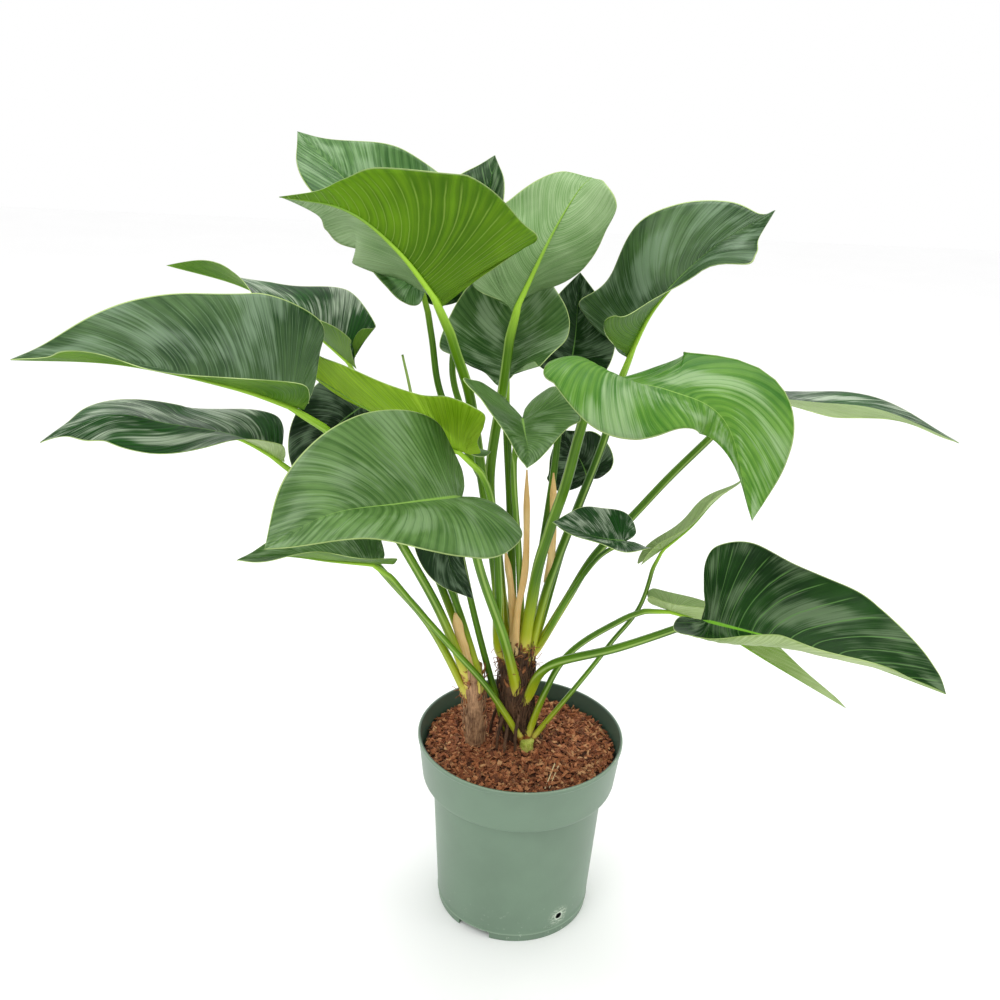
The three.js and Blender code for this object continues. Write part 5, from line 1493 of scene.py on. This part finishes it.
def leaf_blade(leaf, sizes):
    """The blade as a sheet, folded, curled and waved, with pleats between its side veins."""
    columns, rows = LARGE_GRID if leaf["large"] else SMALL_GRID
    mesh, flat = grid(2 * columns, rows)
    signed = flat[:, 0] * 2 - 1
    signed[np.abs(signed) < 1e-6] = 0
    points = blade_points(leaf, signed, flat[:, 1], sizes.pleat_height / MM, sizes.vein_count / 2)
    move_to(mesh, points)
    # A second look paints the left half in other light or shade than the right.
    if len(leaf["looks"]) > 1:
        layer = mesh.loops.layers.uv.active
        for face in mesh.faces:
            across = sum(loop[layer].uv.x for loop in face.loops) / 4
            face.material_index = 3 if across < 0.5 else 0
    bmesh.ops.remove_doubles(mesh, verts=mesh.verts, dist=BLADE_WELD)
    return mesh


def stalk_path(leaf):
    """The stalk's points, from inside its stem to the hinge."""
    x, y, z = leaf["stalk"][0]
    axis = STEMS[leaf["stem"]]["path"]
    heights = [p[2] for p in axis]
    centre = [float(np.interp(z - ROOT_DROP, heights, [p[k] for p in axis])) for k in (0, 1)]
    foot = (
        x + (centre[0] - x) * FOOT_REACH, y + (centre[1] - y) * FOOT_REACH,
        max(z - ROOT_DROP, SOIL_TOP + SOIL_CLEAR),
    )
    return [foot, *leaf["stalk"], leaf["midrib"][0]]


def leaf_stalk(leaf):
    """The stalk, and the midrib that it becomes under the blade."""
    stalk, stalk_length = evenly(stalk_path(leaf), MIDRIB_STEPS)
    spine, spine_length, _, up = leaf_frame(leaf, MIDRIB_STEPS)
    base, hinge = leaf["radius"]
    run = np.linspace(0, 1, MIDRIB_STEPS + 1)
    rib = hinge * MIDRIB_START * (1 - run) ** MIDRIB_TAPER + MIDRIB_TIP
    under = spine - up * (rib[:, None] * MIDRIB_SINK)
    whole = np.vstack([stalk[:-4], under[3:]])
    lead = np.vstack([np.broadcast_to(up[0], stalk[:-4].shape), up[3:]])
    change = stalk_length / (stalk_length + spine_length)

    def radius(t):
        """From the flared foot up the stalk, and down to a thread along the midrib."""
        if t < change:
            u = t / change
            flare = 1 + (STALK_FLARE - 1) * max(0.0, 1 - u / FLARE_SHARE) ** 2
            neck = 1 - NECK_DEPTH * max(0.0, (u - 1 + NECK_SHARE) / NECK_SHARE)
            return taper(base, hinge)(u) * flare * STALK_SLIM * neck
        u = (t - change) / (1 - change)
        past = min(1.0, u / HINGE_BLEND)
        return float(np.interp(u, run, rib)) * past + hinge * HINGE_SLIM * (1 - past)

    def grooved(turn, share):
        """A shallow groove along the upper side of the stalk."""
        return 1 - 0.16 * np.exp(-((turn / 0.45) ** 2)) * (share < change)

    rows = max(8, round(evenly(whole, 2)[1] / STALK_STEP))
    places = np.linspace(0, 1, len(whole))
    at = np.linspace(0, 1, rows + 1)
    leads = np.stack([np.interp(at, places, lead[:, k]) for k in range(3)], -1)
    mesh = swept(spaced(whole, rows)[0], leads, STALK_SIDES, radius, grooved)
    layer = mesh.loops.layers.uv.active
    for face in mesh.faces:
        for loop in face.loops:
            spot = loop[layer]
            spot.uv.y = float(np.interp(spot.uv.y, (0, change, 1), (0, 0.5, 1)))
    return mesh


def build_leaves(sizes):
    """Every leaf: a blade given its thickness, and the stalk that carries it."""
    for leaf in LEAVES:
        name = leaf["name"]
        blade = piece(
            f"{name}_blade", leaf_blade(leaf, sizes), blade_materials(leaf["looks"]), "leaf", (name,),
        )
        thicken(
            blade, sizes.blade_thickness, use_even_offset=False, material_offset=1,
            material_offset_rim=2,
        )
        green = kept(bpy.data.materials, "leaf stalk", stalk_material)
        piece(f"{name}_stalk", leaf_stalk(leaf), [green], "leaf", (name,))


# Sheaths and young leaf


def rolled(turn, share):
    """The shape of a rolled leaf, with a step where its margin ends."""
    return 1 + 0.12 * np.tanh((turn + 1.2 * share) * 3)


def sheath_mesh(strip):
    """A sheath as a hollow sheet that narrows at its tip, with a slightly wavy margin."""
    rows = round(evenly(strip["path"], 2)[1] / SHEATH_STEP)
    mesh, flat = grid(SHEATH_COLUMNS, rows)
    path = evenly(strip["path"], rows)[0]
    along, front = ways(path, np.broadcast_to(np.array(TO_FRONT), path.shape))
    side = np.cross(along, front)
    row = np.rint(flat[:, 1] * rows).astype(int)
    t = flat[:, 1]
    across = flat[:, 0] * 2 - 1
    width = taper(*strip["radius"])(t) * (1 - 0.75 * np.clip((t - 0.8) / 0.2, 0, 1) ** 1.5)
    width = width * (1 + 0.08 * np.sin(17 * t))
    hollow = width * 0.35 * (1 - across**2) + 0.5 * np.sin(11 * t + 2 * across)
    move_to(mesh, path[row] + side[row] * (across * width)[:, None] + front[row] * hollow[:, None])
    return mesh


def build_strips():
    """The dry sheaths among the stalks, and the rolled young leaf at the left."""
    for strip in STRIPS:
        name = strip["name"]
        if name == "young_leaf":
            mesh = tube(strip["path"], taper(*strip["radius"]), 14, 5.0, TO_FRONT, rolled)
            piece("young_leaf_roll", mesh, [young_leaf_material()], "young_leaf", (name,))
        else:
            paper = kept(bpy.data.materials, "dry sheath", sheath_material)
            husk = piece(f"{name}_husk", sheath_mesh(strip), [paper], "dry_sheath", (name,))
            thicken(husk, SHEATH_THICKNESS * MM)


# Stage


def build_floor():
    """The pale floor."""
    mesh = bmesh.new()
    bmesh.ops.create_grid(mesh, x_segments=8, y_segments=8, size=6)
    floor = shown("floor", as_data("floor", mesh))
    material, tree, spots = begun("pale floor")
    patch = cloud(tree, spots["Object"], 3.0)
    colour = blend(tree, patch, (0.96, 0.96, 0.96, 1), (0.99, 0.99, 0.99, 1))
    floor.data.materials.append(finish_material(material, colour, rough=0.9))
    return floor


def build_camera():
    """The camera at the photograph's angle."""
    lens = bpy.data.cameras.new("camera")
    lens.sensor_width = CAMERA_SENSOR
    lens.lens = CAMERA_LENS
    lens.clip_start = 0.05
    camera = shown("camera", lens)
    pitch, roll = math.radians(CAMERA_PITCH), math.radians(CAMERA_ROLL)
    right = Vector((1, 0, 0))
    upward = Vector((0, math.sin(pitch), math.cos(pitch)))
    back = Vector((0, -math.cos(pitch), math.sin(pitch)))
    x_axis = math.cos(roll) * right + math.sin(roll) * upward
    y_axis = math.cos(roll) * upward - math.sin(roll) * right
    turn = Matrix((x_axis, y_axis, back)).transposed().to_4x4()
    camera.matrix_world = Matrix.Translation(Vector(CAMERA_PLACE) * MM) @ turn
    bpy.context.scene.camera = camera


def build_stage(sizes):
    """A pale floor, soft lamps and the camera."""
    ground = build_floor()
    world = bpy.data.worlds.new("studio")
    world.use_nodes = True
    light_all_round = world.node_tree.nodes["Background"].inputs
    light_all_round["Color"].default_value = (1, 1, 1, 1)
    light_all_round["Strength"].default_value = sizes.fill_light
    bpy.context.scene.world = world
    for name, where, size, power in LAMPS:
        light = bpy.data.lights.new(name, "AREA")
        light.shape = "DISK"
        light.size = size
        light.energy = power
        lamp = shown(name, light)
        lamp.location = where
        aim = Vector(LAMP_TARGET) - Vector(where)
        lamp.rotation_euler = aim.to_track_quat("-Z", "Y").to_euler()
    build_camera()
    bpy.context.scene.view_settings.view_transform = "Standard"


# Settings, buttons and panel


class PotSettings(bpy.types.PropertyGroup):
    """What a user may change on the pot and soil."""

    pot_colour: bpy.props.FloatVectorProperty(
        name="Pot colour", description="Colour of the moulded plastic", subtype="COLOR",
        size=3, min=0, max=1, default=tint(108, 133, 111)[:3],
    )
    chip_count: bpy.props.IntProperty(
        name="Bark chips", description="Number of loose chips on the soil", default=4000,
        min=0, max=9000,
    )


class PlantSettings(bpy.types.PropertyGroup):
    """What a user may change on the leaves."""

    blade_thickness: bpy.props.FloatProperty(
        name="Blade thickness", description="Thickness of each blade", default=0.7 * MM,
        min=0.3 * MM, max=2 * MM, unit="LENGTH", subtype="DISTANCE", precision=5,
    )
    pleat_height: bpy.props.FloatProperty(
        name="Pleat height", description="How far a blade swells between its side veins",
        default=0.35 * MM, min=0, max=3 * MM, unit="LENGTH", subtype="DISTANCE", precision=5,
    )
    vein_count: bpy.props.IntProperty(
        name="Side veins", description="Side veins in each half of a blade", default=34,
        min=5, max=60,
    )


class StageSettings(bpy.types.PropertyGroup):
    """What a user may change on the stage."""

    fill_light: bpy.props.FloatProperty(
        name="Fill light", description="Strength of the light from all round", default=1.0,
        min=0, max=4,
    )


class PhilodendronButton:
    """What the buttons share."""

    bl_options = {"REGISTER", "UNDO"}


class PHILODENDRON_OT_pot(PhilodendronButton, bpy.types.Operator):
    """Builds the pot with its collar, foot notches and drain holes"""

    bl_idname = "philodendron.pot"
    bl_label = "Pot"

    def execute(self, context):
        build_pot(context.scene.philodendron_pot)
        return {"FINISHED"}


class PHILODENDRON_OT_soil(PhilodendronButton, bpy.types.Operator):
    """Builds the soil and its loose bark chips"""

    bl_idname = "philodendron.soil"
    bl_label = "Soil"

    def execute(self, context):
        build_soil(context.scene.philodendron_pot)
        return {"FINISHED"}


class PHILODENDRON_OT_stems(PhilodendronButton, bpy.types.Operator):
    """Builds the three stems with their roots and fibres"""

    bl_idname = "philodendron.stems"
    bl_label = "Stems"

    def execute(self, context):
        build_stems()
        return {"FINISHED"}


class PHILODENDRON_OT_leaves(PhilodendronButton, bpy.types.Operator):
    """Builds every leaf, a blade on its stalk"""

    bl_idname = "philodendron.leaves"
    bl_label = "Leaves"

    def execute(self, context):
        build_leaves(context.scene.philodendron_plant)
        return {"FINISHED"}


class PHILODENDRON_OT_sheaths(PhilodendronButton, bpy.types.Operator):
    """Builds the dry sheaths and the rolled young leaf"""

    bl_idname = "philodendron.sheaths"
    bl_label = "Sheaths and young leaf"

    def execute(self, context):
        build_strips()
        return {"FINISHED"}


class PHILODENDRON_OT_stage(PhilodendronButton, bpy.types.Operator):
    """Builds the floor, the lamps and the camera"""

    bl_idname = "philodendron.stage"
    bl_label = "Stage"

    def execute(self, context):
        build_stage(context.scene.philodendron_stage)
        return {"FINISHED"}


BUTTONS = (
    PHILODENDRON_OT_pot, PHILODENDRON_OT_soil, PHILODENDRON_OT_stems, PHILODENDRON_OT_leaves,
    PHILODENDRON_OT_sheaths, PHILODENDRON_OT_stage,
)


class PHILODENDRON_PT_panel(bpy.types.Panel):
    """Settings and buttons in the sidebar"""

    bl_idname = "PHILODENDRON_PT_panel"
    bl_label = "Potted philodendron"
    bl_space_type = "VIEW_3D"
    bl_region_type = "UI"
    bl_category = "Philodendron"

    def draw(self, context):
        column = self.layout.column()
        for key in SETTINGS:
            held = getattr(context.scene, key)
            for label in held.__annotations__:
                column.prop(held, label)
        for button in BUTTONS:
            column.operator(button.bl_idname)


SETTINGS = {
    "philodendron_pot": PotSettings,
    "philodendron_plant": PlantSettings,
    "philodendron_stage": StageSettings,
}


def register():
    for kind in (*SETTINGS.values(), *BUTTONS, PHILODENDRON_PT_panel):
        bpy.utils.register_class(kind)
    for key, kind in SETTINGS.items():
        setattr(bpy.types.Scene, key, bpy.props.PointerProperty(type=kind))


def unregister():
    for key in SETTINGS:
        delattr(bpy.types.Scene, key)
    for kind in reversed((*SETTINGS.values(), *BUTTONS, PHILODENDRON_PT_panel)):
        bpy.utils.unregister_class(kind)


def main():
    """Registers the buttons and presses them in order."""
    register()
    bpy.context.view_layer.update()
    bpy.ops.philodendron.pot()
    bpy.ops.philodendron.soil()
    bpy.ops.philodendron.stems()
    bpy.ops.philodendron.leaves()
    bpy.ops.philodendron.sheaths()
    bpy.ops.philodendron.stage()


if __name__ == "__main__":
    main()
